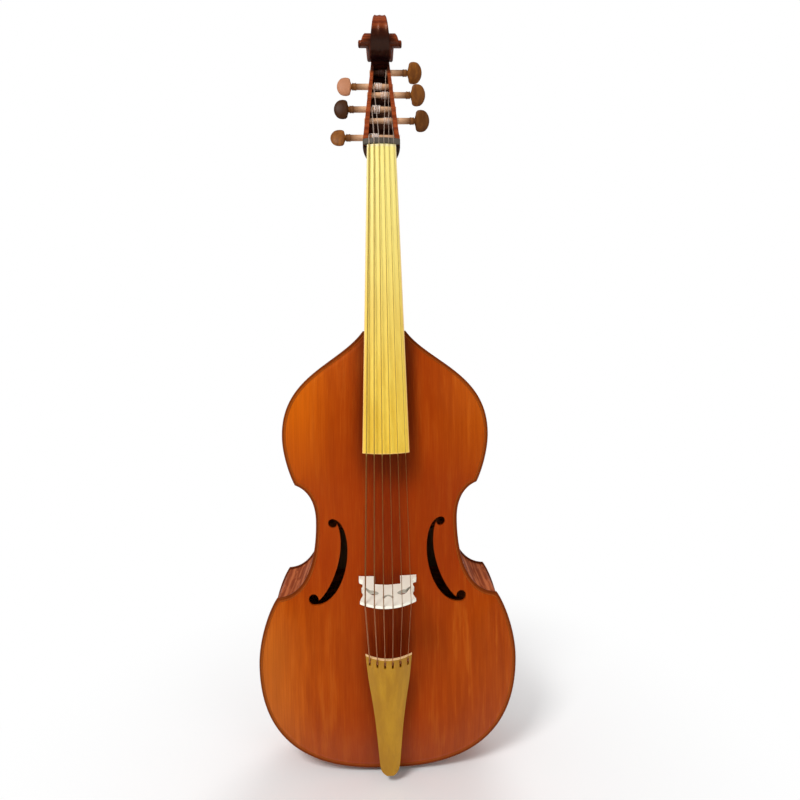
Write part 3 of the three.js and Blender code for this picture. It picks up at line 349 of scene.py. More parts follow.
def bevel(obj, width, segments=3, degrees=40):
    edge = obj.modifiers.new("edge", "BEVEL")
    edge.width = width
    edge.segments = segments
    edge.limit_method = "ANGLE"
    edge.angle_limit = math.radians(degrees)
    edge.harden_normals = False
    return obj


def attribute(obj, name, values):
    layer = obj.data.attributes.new(name, "FLOAT", "POINT")
    layer.data.foreach_set("value", np.asarray(values, dtype=np.float32))


def points_of(obj):
    points = np.empty(len(obj.data.vertices) * 3)
    obj.data.vertices.foreach_get("co", points)
    return points.reshape(-1, 3)


def finish_piece(obj, look, node, body=ROOT):
    """Gives a piece its material and its body, and hides the solid that it stands for."""
    obj.data.materials.clear()
    obj.data.materials.append(look)
    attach(obj, body)
    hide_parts(node)


# Control points of the right side's outline, downwards: a half width, the share of it and the
# share of the body length. Two curves make a bout, and each starts where the one before ends.

OUTLINE_SHARES = [
    (NECK_HALF, 1, 1), (UPPER_HALF, 0.432, 0.9265), (UPPER_HALF, 1, 0.902), (UPPER_HALF, 1, 0.764),
    (UPPER_HALF, 1, 0.7195), (UPPER_HALF, 0.923, 0.6696), (UPPER_CORNER_HALF, 1, 0.652),
    (UPPER_CORNER_HALF, 0.902, 0.6446), (WAIST_HALF, 1, 0.623), (WAIST_HALF, 1, 0.568),
    (WAIST_HALF, 1, 0.464), (LOWER_CORNER_HALF, 0.769, 0.3985), (LOWER_CORNER_HALF, 1, 0.397),
    (LOWER_CORNER_HALF, 1.073, 0.372), (LOWER_HALF, 1, 0.3046), (LOWER_HALF, 1, 0.2464),
    (LOWER_HALF, 1, 0.0525), (LOWER_HALF, 0.543, 0), (TAIL_HALF, 1, 0),
]
CURVE_STEPS = (36, 20, 20, 36, 16, 60)
MIRROR = (-1, 1)


def bezier(corners, steps):
    t = np.linspace(0, 1, steps + 1)[:, None]
    a, b, c, d = np.array(corners)
    return (1 - t) ** 3 * a + 3 * (1 - t) ** 2 * t * b + 3 * (1 - t) * t * t * c + t ** 3 * d


def joined(lines):
    """One line from several, of which each starts where the one before ends."""
    return np.vstack([lines[0]] + [line[1:] for line in lines[1:]])


def curve(number):
    rows = OUTLINE_SHARES[3 * number:3 * number + 4]
    corners = [(half * share, BODY_LENGTH * height) for half, share, height in rows]
    return bezier(corners, CURVE_STEPS[number])


BOUTS = {
    "upper": joined([curve(0), curve(1)]),
    "middle": joined([curve(2), curve(3)]),
    "lower": joined([curve(4), curve(5)]),
}
OUTLINE = joined(list(BOUTS.values()))
FULL_OUTLINE = np.vstack([OUTLINE, (OUTLINE * MIRROR)[::-1]])


def edge_distance(x, z):
    """How far points lie from the edge of the body."""
    rim = np.vstack([[0, BODY_LENGTH], OUTLINE, [0, 0]])
    points = np.stack([np.abs(x), z], axis=-1)
    least = np.full(points.shape[:-1], np.inf)
    for start, end in zip(rim[:-1], rim[1:]):
        step = end - start
        along = np.clip(((points - start) @ step) / (step @ step), 0, 1)
        away = points - start - along[..., None] * step
        least = np.minimum(least, np.hypot(away[..., 0], away[..., 1]))
    return least


def outward(ring):
    """Outward vectors at the corners of a clockwise closed line, longer at sharp corners."""
    step = np.roll(ring, -1, axis=0) - ring
    normal = np.stack([-step[:, 1], step[:, 0]], axis=1)
    normal /= np.linalg.norm(normal, axis=1)[:, None]
    both = normal + np.roll(normal, 1, axis=0)
    both /= np.linalg.norm(both, axis=1)[:, None]
    lean = np.clip((both * normal).sum(axis=1), 0.6, 1)
    return both / lean[:, None]


def rim_samples():
    ring = np.vstack([FULL_OUTLINE, OUTLINE[:1]])
    along = np.concatenate([[0], np.cumsum(np.linalg.norm(np.diff(ring, axis=0), axis=1))])
    places = np.arange(RIM_SAMPLE / 2, along[-1], RIM_SAMPLE)
    return np.stack([np.interp(places, along, ring[:, 0]), np.interp(places, along, ring[:, 1])], axis=1)


RIM_SAMPLES = rim_samples()


def soft_distance(x, z):
    """The distance to the edge, without a crease where two edges are equally near."""
    total = np.zeros(x.shape)
    for a, b in RIM_SAMPLES:
        total += ((x - a) ** 2 + (z - b) ** 2 + RIM_SAMPLE ** 2) ** (-RIM_POWER / 2)
    straight = math.sqrt(math.pi) * math.gamma((RIM_POWER - 1) / 2) / math.gamma(RIM_POWER / 2)
    return (straight / (total * RIM_SAMPLE)) ** (1 / (RIM_POWER - 1))


def arch(x, z):
    """The height of the belly's inside, and the bead and channel that its outside adds."""
    distance = edge_distance(x, z)
    inwards = ramp(distance, SOFT_START, SOFT_END)
    far = mix(distance, soft_distance(x, z), inwards * inwards * (3 - 2 * inwards))
    share = np.minimum(far / ARCH_REACH, 1)
    height = ARCH_HEIGHT * (1 - (1 - share ** ARCH_EASE) ** ARCH_POWER)
    bead = BEAD_HEIGHT * np.exp(-(distance / BEAD_WIDTH) ** 2)
    channel = CHANNEL_DEPTH * np.exp(-((distance - CHANNEL_PLACE) / CHANNEL_WIDTH) ** 2)
    return height, bead - channel


def back_inside(z):
    return mix(RIB_DEPTH, RIB_DEPTH_AT_NECK, ramp(z, FOLD_HEIGHT, BODY_LENGTH))


PLATE_COLUMNS = 71
RIM_STEPS = 6


def plate(name, front, back):
    """A plate with the body's outline and a rounded edge, between two faces given as y of x and z."""
    right = OUTLINE - outward(FULL_OUTLINE)[:len(OUTLINE)] * EDGE_ROUND
    x = right[:, :1] * np.sin(np.linspace(-math.pi / 2, math.pi / 2, PLATE_COLUMNS))
    z = np.repeat(right[:, 1:], PLATE_COLUMNS, axis=1)
    rows, columns = x.shape
    faces_y = [front(x, z), back(x, z)]
    vertices = [np.stack([x, y, z], axis=-1).reshape(-1, 3) for y in faces_y]
    index = np.arange(rows * columns).reshape(rows, columns)
    rim = np.concatenate([index[:, -1], index[-1, -2::-1], index[-2::-1, 0], index[0, 1:-1]])
    flat = np.stack([x.ravel()[rim], z.ravel()[rim]], axis=1)
    away = outward(flat)
    faces = grid_faces(rows, columns) + grid_faces(rows, columns, rows * columns)
    loops = [rim]
    count = 2 * rows * columns
    for k in range(1, RIM_STEPS):
        angle = math.pi * k / RIM_STEPS
        place = flat + away * EDGE_ROUND * math.sin(angle)
        y = mix(faces_y[0].ravel()[rim], faces_y[1].ravel()[rim], (1 - math.cos(angle)) / 2)
        vertices.append(np.stack([place[:, 0], y, place[:, 1]], axis=1))
        loops.append(count + np.arange(len(rim)))
        count += len(rim)
    loops.append(rim + rows * columns)
    for loop, following in zip(loops[:-1], loops[1:]):
        quads = zip(loop, np.roll(loop, -1), np.roll(following, -1), following)
        faces += [tuple(int(v) for v in quad) for quad in quads]
    return build(name, np.vstack(vertices), faces)


def mark_edge(obj):
    points = points_of(obj)
    attribute(obj, "edge", edge_distance(points[:, 0], points[:, 2]))
    return points


# Sound holes: shares of the hole's reach and length

INNER_EDGE_SHARES = [
    [(0.431, 1), (0.164, 1), (0, 0.846), (0, 0.65)],
    [(0, 0.65), (0, 0.335), (0.388, 0), (1, 0)],
]
HOLE_STEPS = 20


def hole_spot(x_share, z_share):
    return HOLE_INSET + x_share * HOLE_REACH, HOLE_BOTTOM + z_share * HOLE_LENGTH


def hole_eye(centre, radius, start, end):
    angles = np.linspace(start, end, HOLE_STEPS)
    return np.stack([centre[0] + radius * np.cos(angles), centre[1] + radius * np.sin(angles)], axis=1)


def sound_hole_outline():
    stem = HOLE_STEM / HOLE_REACH
    top_eye = (hole_spot(0.431, 1)[0], HOLE_BOTTOM + HOLE_LENGTH - HOLE_TOP_EYE)
    bottom_eye = (HOLE_INSET + HOLE_REACH, HOLE_BOTTOM + HOLE_BOTTOM_EYE)
    inner = [bezier([hole_spot(*pair) for pair in rows], HOLE_STEPS) for rows in INNER_EDGE_SHARES]
    lower_end = (bottom_eye[0] - HOLE_BOTTOM_EYE, bottom_eye[1])
    upper_end = (top_eye[0] - HOLE_TOP_EYE, top_eye[1])
    middle = hole_spot(stem, 0.7256)
    outer = [
        bezier([lower_end, hole_spot(0.575, 0.147), hole_spot(stem, 0.447), middle], HOLE_STEPS),
        bezier([middle, hole_spot(stem, 0.823), hole_spot(0.239, 0.898), upper_end], HOLE_STEPS),
    ]
    return joined([
        *inner, hole_eye(bottom_eye, HOLE_BOTTOM_EYE, -math.pi / 2, math.pi),
        *outer, hole_eye(top_eye, HOLE_TOP_EYE, -math.pi, math.pi / 2)[:-1],
    ])


def make_belly(look):
    def outside(x, z):
        height, detail = arch(x, z)
        return -height - detail - PLATE_THICKNESS

    def inside(x, z):
        return -arch(x, z)[0]

    belly = plate("belly", outside, inside)
    hole = sound_hole_outline()
    reach = ARCH_HEIGHT + PLATE_THICKNESS + CUT_OVERRUN
    carve(belly, [prism("hole", hole * (side, 1), -reach, CUT_OVERRUN) for side in (-1, 1)])
    mark_edge(belly)
    finish_piece(belly, look, "top_plate")


BACK_FLAME_LEAN = 0.22


def make_back(look):
    back = plate("back", lambda x, z: back_inside(z), lambda x, z: back_inside(z) + PLATE_THICKNESS)
    points = mark_edge(back)
    attribute(back, "along", points[:, 2] + np.abs(points[:, 0]) * BACK_FLAME_LEAN)
    finish_piece(back, look, "back_plate")


# Ribs

def inset(line, distance):
    step = np.gradient(line, axis=0)
    step /= np.linalg.norm(step, axis=1)[:, None]
    return line + np.stack([step[:, 1], -step[:, 0]], axis=1) * distance


def trim(upper, lower):
    """Ends one line and starts the next where the two cross."""
    for i in range(len(upper) - 1, 0, -1):
        a = upper[i - 1]
        ab = upper[i] - a
        for j in range(len(lower) - 1):
            ac = lower[j] - a
            cd = lower[j + 1] - lower[j]
            area = ab[0] * cd[1] - ab[1] * cd[0]
            t = (ac[0] * cd[1] - ac[1] * cd[0]) / area
            s = (ac[0] * ab[1] - ac[1] * ab[0]) / area
            if 0 <= t <= 1 and 0 <= s <= 1:
                hit = a + t * ab
                return np.vstack([upper[:i], hit]), np.vstack([hit, lower[j + 1:]])
    raise ValueError("the bouts do not meet at a corner")


def rib_lines():
    upper, middle, lower = [inset(line, EDGE_OVERHANG) for line in BOUTS.values()]
    slope = upper[1] - upper[0]
    top = upper[0] + slope * (BODY_LENGTH - upper[0][1]) / slope[1]
    upper, middle = trim(np.vstack([top, upper]), middle)
    middle, lower = trim(middle, lower)
    lower = np.vstack([lower, (0, lower[-1][1])])
    return {"upper": upper, "middle": middle, "lower": lower}


def make_ribs(look):
    for name, line in rib_lines().items():
        inner = inset(line, RIB_THICKNESS)
        steps = np.linalg.norm(np.diff(line, axis=0), axis=1)
        along = np.concatenate([[0], np.cumsum(steps)])
        for side_name, side in (("left", -1), ("right", 1)):
            rings = []
            for (x, z), (u, w) in zip(line, inner):
                rings.append([
                    (side * x, GLUE_GAP, z), (side * u, GLUE_GAP, w),
                    (side * u, back_inside(w) - GLUE_GAP, w), (side * x, back_inside(z) - GLUE_GAP, z),
                ])
            rib = loft(f"{name}_rib_{side_name}_fine", rings)
            attribute(rib, "along", np.repeat(along, len(rings[0])))
            finish_piece(rib, look, f"{name}_rib_{side_name}")


# Fingerboard, neck and nut

BOARD_COLUMNS = 33
BOARD_ROWS = 5


def down_the_board(at_nut, at_end, z):
    return mix(at_nut, at_end, (NECK_TOP - z) / BOARD_LENGTH)


def board_half(z):
    return down_the_board(BOARD_NUT_HALF, BOARD_END_HALF, z)


def sagitta(x):
    return BOARD_RADIUS - np.sqrt(BOARD_RADIUS ** 2 - x ** 2)


def board_underside(z):
    at_nut = BOARD_CROWN_AT_NUT + sagitta(BOARD_NUT_HALF)
    at_end = BOARD_CROWN_AT_END + sagitta(BOARD_END_HALF)
    return down_the_board(at_nut, at_end, z) + BOARD_EDGE


def board_ring(half, crown, under, z):
    top = [(x, crown + sagitta(x), z) for x in np.linspace(-half, half, BOARD_COLUMNS)]
    return top + [(half, under, z), (-half, under, z)]


def make_fingerboard(look):
    rings = []
    for z in np.linspace(NECK_TOP, BOARD_BOTTOM, BOARD_ROWS):
        crown = down_the_board(BOARD_CROWN_AT_NUT, BOARD_CROWN_AT_END, z)
        rings.append(board_ring(board_half(z), crown, board_underside(z), z))
    board = bevel(loft("fingerboard_fine", rings), BOARD_BEVEL)
    finish_piece(board, look, "fingerboard")


# Rows of height share and depth share, and the runs of rings through them
NECK_DEPTH_SHARES = [
    (0, 1), (0.05, 0.83), (0.1, 0.6), (0.16, 0.42), (0.24, 0.315), (0.36, 0.275),
    (0.9, 0.245), (0.97, 0.25), (1, 0.27),
]
NECK_RUNS = [(0, 0.36, 30), (0.4, 0.9, 18), (0.905, 1, 20)]
NECK_SIDES = 40


def make_neck(look):
    bottom = BODY_LENGTH + GLUE_GAP
    shares = runs(NECK_RUNS)
    angles = np.linspace(0, math.pi, NECK_SIDES)
    rings = []
    for share, depth in zip(shares, smooth_table(NECK_DEPTH_SHARES, shares)):
        z = mix(bottom, NECK_TOP, share)
        front = board_underside(z) + GLUE_GAP
        shoulder = max(0, 1 - ((NECK_TOP - z) / SHOULDER_LENGTH) ** SHOULDER_POWER)
        half = mix(board_half(z), NUT_HALF, shoulder)
        y = front + NECK_ROOT * depth * np.sin(angles) ** NECK_ROUNDNESS
        rings.append(np.stack([half * np.cos(angles), y, np.full(NECK_SIDES, z)], axis=1))
    neck = loft("neck_fine", rings)
    _, depth, height = points_of(neck).T
    attribute(neck, "along", height)
    # Darker on the front of the neck's top, beside the nut.
    dark_top_bottom = NECK_TOP - DARK_TOP_LENGTH
    high = ramp(height, dark_top_bottom, dark_top_bottom + DARK_TOP_BLEND)
    near = ramp(depth - board_underside(height), DARK_TOP_DEPTH, DARK_TOP_DEPTH - DARK_TOP_BLEND)
    attribute(neck, "stain", high * near)
    finish_piece(neck, look, "neck")


def string_place(index, span):
    return (2 * index / (len(STRING_RADII) - 1) - 1) * span / 2


def make_nut(look):
    back = board_underside(NECK_TOP) - GLUE_GAP
    crown = BOARD_CROWN_AT_NUT - NUT_RISE
    rings = [board_ring(NUT_HALF, crown, back, z) for z in (NUT_BOTTOM, NUT_BOTTOM + NUT_LENGTH)]
    nut = bevel(loft("nut_fine", rings), NUT_BEVEL, segments=4)
    finish_piece(nut, look, "nut")


# Pegbox: level sections given as height share, front share, depth share and width share

PEGBOX_SHARES = [
    (0, 0, 0.66, 1), (0.053, 0, 0.96, 0.99), (0.121, 0.095, 1, 0.945), (0.238, 0.246, 0.94, 0.88),
    (0.372, 0.421, 0.88, 0.8), (0.506, 0.596, 0.85, 0.715), (0.64, 0.772, 0.83, 0.635),
    (0.774, 0.948, 0.81, 0.555), (0.86, 1.01, 0.875, 0.505), (0.93, 1, 1.02, 0.46), (1, 1, 1.1, 0.411),
]
PEGBOX_RINGS = 60
CAVITY_RINGS = 30
CORNER_STEPS = 8
# How far a point may lie from the cavity's walls and still be on them, and how deep they start
WALL_MARGIN = 0.2 * MM
END_MARGIN = 1 * MM
LIP = 2 * MM


def pegbox_at(z, smooth=True):
    """The front, back and half width at a height."""
    share = (z - NUT_BOTTOM) / (SCROLL_CENTRE[1] - NUT_BOTTOM)
    heights, *columns = zip(*PEGBOX_SHARES)
    if smooth:
        picked = [float(smooth_table(list(zip(heights, values)), share)) for values in columns]
    else:
        picked = [float(np.interp(share, heights, values)) for values in columns]
    front = board_underside(NECK_TOP) + GLUE_GAP + PEGBOX_LEAN * picked[0]
    return front, front + PEGBOX_DEPTH * picked[1], NUT_HALF * picked[2]


def cheek(z):
    return mix(CHEEK_AT_NUT, CHEEK_AT_TOP, (z - CAVITY_BOTTOM) / CAVITY_LENGTH)


# Pegs from the nut up. The turn is the lean of the head; glow and tone say how pale its head and
# its shank in the pegbox are. Glow is painted light and shade on each head. The last one lies in the
# shadow of the scroll, and its tone of 0 is that shadow painted on its shank.
PEG_KEYS = ("string", "side", "height_share", "depth_share", "turn", "glow", "tone")
PEG_ROWS = [
    (0, -1, 0.096, 0.33, 0.45, 0.58, 0.75),
    (5, 1, 0.2635, 0.33, -0.3, 0.26, 0.8),
    (1, -1, 0.3797, 0.33, 0.15, 0.12, 0.72),
    (4, 1, 0.528, 0.34, -0.38, 0.55, 0.8),
    (2, -1, 0.616, 0.34, 0.2, 0.9, 0.78),
    (3, 1, 0.764, 0.34, -0.45, 0.52, 0),
]


def make_peg_table(row):
    peg = SimpleNamespace(**dict(zip(PEG_KEYS, row)))
    peg.z = mix(NUT_BOTTOM, SCROLL_CENTRE[1], peg.height_share)
    front, back, half = pegbox_at(peg.z, smooth=False)
    peg.y = mix(front, back, peg.depth_share)
    peg.half = half
    peg.inner = half - cheek(peg.z)
    peg.head = half + PEG_EXPOSED
    peg.collar = peg.head - PEG_COLLAR
    peg.number = peg.string + 1
    peg.body = f"peg_{peg.number}_and_winding"
    peg.radius = STRING_RADII[peg.string]
    return peg


PEGS = [make_peg_table(row) for row in PEG_ROWS]


def shaft_radius(peg, x):
    """The shank's radius at x, counted from the middle towards the head."""
    return mix(PEG_RADIUS, PEG_THIN_RADIUS, (peg.half - x) / (2 * peg.half + PEG_TAIL))


def pegbox_ring(z):
    """A level section, with its two corners at the back rounded."""
    front, back, half = pegbox_at(z)
    corner = half / 2
    right = [(half, front)]
    for angle in np.linspace(0, math.pi / 2, CORNER_STEPS):
        x = half - corner + corner * math.cos(angle)
        right.append((x, back - corner + corner * math.sin(angle)))
    return [(x, y, z) for x, y in right + [(-x, y) for x, y in reversed(right)]]


def cavity_ring(z):
    front, back, half = pegbox_at(z)
    inner = half - cheek(z)
    low = front - CUT_OVERRUN
    floor = back - CAVITY_FLOOR
    return [(inner, low, z), (inner, floor, z), (-inner, floor, z), (-inner, low, z)]


def bore(peg):
    reach = peg.half + CUT_OVERRUN
    return loft("bore", [peg_ring(peg, x, shaft_radius(peg, x) + PEG_GAP) for x in (reach, -reach)])


def on_cavity(points):
    """1 at the points on the cavity's walls and floor, 0 elsewhere."""
    x, depth, height = points.T
    front, back, half = np.array([pegbox_at(z) for z in height]).T
    inside = np.abs(x) < half - cheek(height) + WALL_MARGIN
    inside &= (depth > front + LIP) & (depth < back - CAVITY_FLOOR + END_MARGIN)
    inside &= height > CAVITY_BOTTOM - END_MARGIN
    inside &= height < CAVITY_BOTTOM + CAVITY_LENGTH + END_MARGIN
    return inside.astype(float)


def make_pegbox(look):
    heights = np.linspace(NUT_BOTTOM, SCROLL_CENTRE[1], PEGBOX_RINGS)
    pegbox = loft("pegbox_fine", [pegbox_ring(z) for z in heights])
    heights = np.linspace(CAVITY_BOTTOM, CAVITY_BOTTOM + CAVITY_LENGTH, CAVITY_RINGS)
    cavity = loft("cavity", [cavity_ring(z) for z in heights])
    carve(pegbox, [cavity] + [bore(peg) for peg in PEGS])
    bevel(pegbox, WOOD_BEVEL, segments=2, degrees=60)
    points = points_of(pegbox)
    attribute(pegbox, "along", points[:, 2])
    # Painted shade on the cavity's walls and floor, and painted shade with darker varnish under the
    # scroll.
    attribute(pegbox, "shade", on_cavity(points))
    attribute(pegbox, "dark", scroll_shade_and_varnish(points))
    finish_piece(pegbox, look, "pegbox_with_scroll")


# Scroll: a spiral whose radius shrinks and whose width grows from the crest in to the eye

SCROLL_STEPS = 96
BAND_COLUMNS = 16
FLUTE_POWER = 1.3
# Rows of the way in to the next turn and the depth share, and of the eye's radius share and rise
HOLLOW_SHARES = [(0.12, 0.35), (0.4, 1), (0.75, 0.9), (0.94, 0.35)]
EYE_SHARES = [(1, 0), (0.86, 0.7), (0.5, 1)]
WELD = 0.05 * MM
# Painted shade under the scroll, with its darker varnish: rows of height in mm and strength, its reach
# from front to back and at the eyes
DARK_ROWS = [
    (1100, 0), (1122, 0), (1126, 1), (1162, 1), (1174, 0.9), (1183, 0.4), (1191, 0.06), (1200, 0),
]
DARK_BACK = SCROLL_CENTRE[0] + 16 * MM
DARK_FRONT = SCROLL_CENTRE[0] + 2 * MM
DARK_HALF = 15 * MM
DARK_HALF_END = 17 * MM
EYE_BLEND = 3 * MM
LOWER_EYE_SHARE = 0.3


def scroll_radius(angle):
    if angle < SCROLL_CREST:
        return mix(SCROLL_BACK_RADIUS, SCROLL_RADIUS, angle / SCROLL_CREST)
    spiral = SCROLL_RADIUS * SCROLL_SHRINK ** ((min(angle, SCROLL_TIGHTEN) - SCROLL_CREST) / math.pi)
    return mix(spiral, SCROLL_EYE_RADIUS, ramp(angle, SCROLL_TIGHTEN, SCROLL_END))


def scroll_half(angle):
    if angle < SCROLL_CREST:
        return mix(PEGBOX_TOP_HALF, SCROLL_CREST_HALF, angle / SCROLL_CREST)
    share = (angle - SCROLL_CREST) / (SCROLL_END - SCROLL_CREST)
    return mix(SCROLL_CREST_HALF, SCROLL_EYE_HALF, np.interp(share, *zip(*SCROLL_WIDTH_SHARES)))


def scroll_point(angle, radius, x):
    return x, SCROLL_CENTRE[0] + radius * math.cos(angle), SCROLL_CENTRE[1] + radius * math.sin(angle)


def scroll_side(angle, side):
    """The turn's side face: its chamfer, its hollowed floor and the wall up to the next turn in."""
    radius = scroll_radius(angle)
    half = scroll_half(angle)
    next_radius = scroll_radius(angle + FULL_TURN)
    next_half = scroll_half(angle + FULL_TURN)
    room = radius - next_radius
    chamfer = min(CHAMFER, room / 3)
    hollow = min(HOLLOW_DEPTH, room / 4)
    line = [(radius, half - chamfer), (radius - chamfer, half)]
    for share, depth in HOLLOW_SHARES:
        line.append((mix(radius - chamfer, next_radius, share), half - hollow * depth))
    line += [(next_radius, half), (next_radius, next_half - min(CHAMFER, (next_half - half) / 2))]
    return [scroll_point(angle, r, side * x) for r, x in line]


def scroll_eye(side):
    """The low dome in the middle of a side."""
    rows = []
    for radius_share, rise in EYE_SHARES:
        x = side * (SCROLL_EYE_HALF - CHAMFER + rise * CHAMFER)
        angles = [FULL_TURN * k / SCROLL_STEPS for k in range(SCROLL_STEPS)]
        rows.append([scroll_point(angle, radius_share * SCROLL_EYE_RADIUS, x) for angle in angles])
    return rows


def scroll_band(angle):
    """The turn's outer face, with two shallow flutes."""
    radius = scroll_radius(angle)
    half = scroll_half(angle) - min(CHAMFER, (radius - scroll_radius(angle + FULL_TURN)) / 3)
    fade = ramp(angle, SCROLL_START, SCROLL_START + FLUTE_FADE)
    row = []
    for share in np.linspace(0, 1, BAND_COLUMNS + 1):
        flute = FLUTE_DEPTH * fade * abs(math.sin(FULL_TURN * share)) ** FLUTE_POWER
        row.append(scroll_point(angle, radius - flute, mix(half, -half, share)))
    return row


def scroll_shade_and_varnish(points):
    """The deep brown under the scroll's front: painted shade, and the darker varnish that has built up
    there.
    """
    x, depth, height = points.T
    level = np.interp(height / MM, *zip(*DARK_ROWS))
    front = ramp(depth, DARK_BACK, DARK_FRONT)
    aside = ramp(np.abs(x), DARK_HALF, DARK_HALF_END)
    upper = ramp(height, SCROLL_CENTRE[1] - EYE_BLEND, SCROLL_CENTRE[1] + EYE_BLEND)
    return level * front * (1 - aside * mix(LOWER_EYE_SHARE, 1, upper))


def make_scroll(look):
    count = int(round((SCROLL_END - SCROLL_START) / FULL_TURN * SCROLL_STEPS))
    angles = [SCROLL_END - (count - i) * FULL_TURN / SCROLL_STEPS for i in range(count + 1)]
    vertices = []
    faces = []
    for side in (-1, 1):
        add_grid(vertices, faces, [scroll_side(angle, side) for angle in angles])
        add_grid(vertices, faces, scroll_eye(side), closed=True)
        faces.append(tuple(range(len(vertices) - SCROLL_STEPS, len(vertices))))
    add_grid(vertices, faces, [scroll_band(angle) for angle in angles[:SCROLL_STEPS + 1]])
    scroll = build("scroll_fine", vertices, faces)
    outward_normals(scroll.data, WELD)
    shade(scroll, degrees=45)
    points = points_of(scroll)
    turned = np.arctan2(points[:, 2] - SCROLL_CENTRE[1], points[:, 1] - SCROLL_CENTRE[0])
    attribute(scroll, "along", turned * SCROLL_RADIUS)
    attribute(scroll, "shade", np.zeros(len(points)))
    attribute(scroll, "dark", scroll_shade_and_varnish(points))
    finish_piece(scroll, look, "pegbox_with_scroll")


# Pegs

PEG_SIDES = 36
# Rows of length share, tall share and thick share, and the runs of rings through them
PEG_HEAD_SHARES = [
    (0.03, 0.5, 0.8), (0.07, 0.8, 0.95), (0.2, 0.96, 1), (0.38, 1, 1), (0.56, 0.97, 0.94),
    (0.73, 0.86, 0.84), (0.88, 0.62, 0.64), (0.97, 0.34, 0.42), (1, 0.14, 0.18),
]
PEG_HEAD_RUNS = [(0.03, 0.2, 10), (0.24, 0.9, 14), (0.92, 1, 8)]
# Rows of length share and radius in mm
COLLAR_ROWS = [
    (0, 5), (0.06, 5.8), (0.1, 6.1), (0.16, 6.1), (0.2, 5.6), (0.6, 5.5), (0.64, 6.1), (0.7, 6.1),
    (0.76, 5.4), (0.9, 4),
]
COLLAR_GLOW = 0.33
COLLAR_TONE = 0.06
TIP_TONE = 0.9
TONE_STEP = 2 * MM
COLLAR_STEP = 1 * MM


def peg_ring(peg, x, tall, thick=None):
    thick = tall if thick is None else thick
    lean_sin = math.sin(peg.turn)
    lean_cos = math.cos(peg.turn)
    ring = []
    for k in range(PEG_SIDES):
        angle = FULL_TURN * k / PEG_SIDES
        up = tall * math.cos(angle)
        out = thick * math.sin(angle)
        y = peg.y + up * lean_sin + out * lean_cos
        z = peg.z + up * lean_cos - out * lean_sin
        ring.append((peg.side * x, y, z))
    return ring


def head_rings(peg):
    places, tall, thick = np.array(PEG_HEAD_SHARES).T
    shares = runs(PEG_HEAD_RUNS)
    tall = PEG_HEAD_HALF * smooth_table(list(zip(places, tall)), shares)
    thick = PEG_HEAD_THICKNESS * smooth_table(list(zip(places, thick)), shares)
    x = peg.head + shares * PEG_HEAD_LENGTH
    return [peg_ring(peg, *row) for row in zip(x, tall, thick)]


def make_peg(peg, look):
    thin = -peg.half - PEG_TAIL
    inside = peg.inner
    shank = [-inside - TONE_STEP, -inside, inside - TONE_STEP, inside]
    rings = [
        peg_ring(peg, thin, PEG_THIN_RADIUS - PEG_GAP),
        peg_ring(peg, thin + PEG_GAP, PEG_THIN_RADIUS),
    ]
    rings += [peg_ring(peg, x, shaft_radius(peg, x)) for x in shank + [peg.half]]
    for share, radius in COLLAR_ROWS:
        rings.append(peg_ring(peg, mix(peg.collar, peg.head, share), radius * MM))
    piece = loft(f"peg_{peg.number}_fine", rings + head_rings(peg), degrees=50)
    reach = peg.side * points_of(piece)[:, 0]
    places = shank + [peg.collar - COLLAR_STEP, peg.collar, peg.head]
    tones = [TIP_TONE, peg.tone, peg.tone, 1, 1, COLLAR_TONE, 0]
    attribute(piece, "tone", np.interp(reach, places, tones))
    # Painted light and shade: each head's glow, and glow 0, painted shade, on the shank inside the
    # pegbox.
    glow = np.where(reach > peg.head, peg.glow, COLLAR_GLOW)
    attribute(piece, "glow", np.where(np.abs(reach) < inside, 0.0, glow))
    finish_piece(piece, look, f"peg_{peg.number}", peg.body)


# Strings: a straight run from the tailpiece over bridge and nut, and a winding on each peg

STRING_SIDES = 12
WINDING_STEPS = 48
BEND_STEPS = 5
LONGEST_BEND_SHARE = 0.4


def tube(name, points, radius):
    points = np.array(points, dtype=float)
    tangents = np.gradient(points, axis=0)
    tangents /= np.linalg.norm(tangents, axis=1)[:, None]
    angles = FULL_TURN * np.arange(STRING_SIDES)[:, None] / STRING_SIDES
    u = np.array([1.0, 0, 0])
    rings = []
    for point, tangent in zip(points, tangents):
        u = u - tangent * (u @ tangent)
        u /= np.linalg.norm(u)
        rings.append(point + radius * (np.cos(angles) * u + np.sin(angles) * np.cross(tangent, u)))
    return loft(name, rings, degrees=60)


def nut_point(peg):
    lift = peg.radius + STRING_GAP
    x = string_place(peg.string, NUT_STRING_SPAN)
    top = BOARD_CROWN_AT_NUT - NUT_RISE + sagitta(x)
    return x, top - lift, NUT_BOTTOM + NUT_LENGTH + lift


def round_peg(peg, reach, angle):
    """The y and z of a point at an angle round a peg."""
    return peg.y + reach * math.cos(angle), peg.z + reach * math.sin(angle)


def peg_contact(peg):
    """Where a string first meets its peg: x, distance from the axis and angle."""
    x = peg.side * (peg.inner - peg.radius - 2 * WINDING_GAP)
    reach = shaft_radius(peg, peg.inner) + STRING_GAP + peg.radius
    nut = nut_point(peg)
    rise = (peg.y - nut[1], peg.z - nut[2])
    slope = math.atan2(rise[1], rise[0]) + math.asin(reach / math.hypot(*rise))
    return x, reach, slope + math.pi / 2


def crown_drop(x):
    share = x / BRIDGE_CROWN_HALF
    return BRIDGE_CROWN_DROP * share ** 2 + BRIDGE_CROWN_TILT * share


def tailpiece_top(x, z):
    share = (z - TAILPIECE_BOTTOM) / TAILPIECE_LENGTH
    return mix(TAILPIECE_HEEL, TAILPIECE_CROWN, share) + TAILPIECE_ARCH * (x / TAILPIECE_HALF) ** 2


def towards(start, end, length):
    """The point at a length from the start towards the end, or before the start if it is negative."""
    step = end - start
    return start + step * min(LONGEST_BEND_SHARE, length / np.linalg.norm(step))


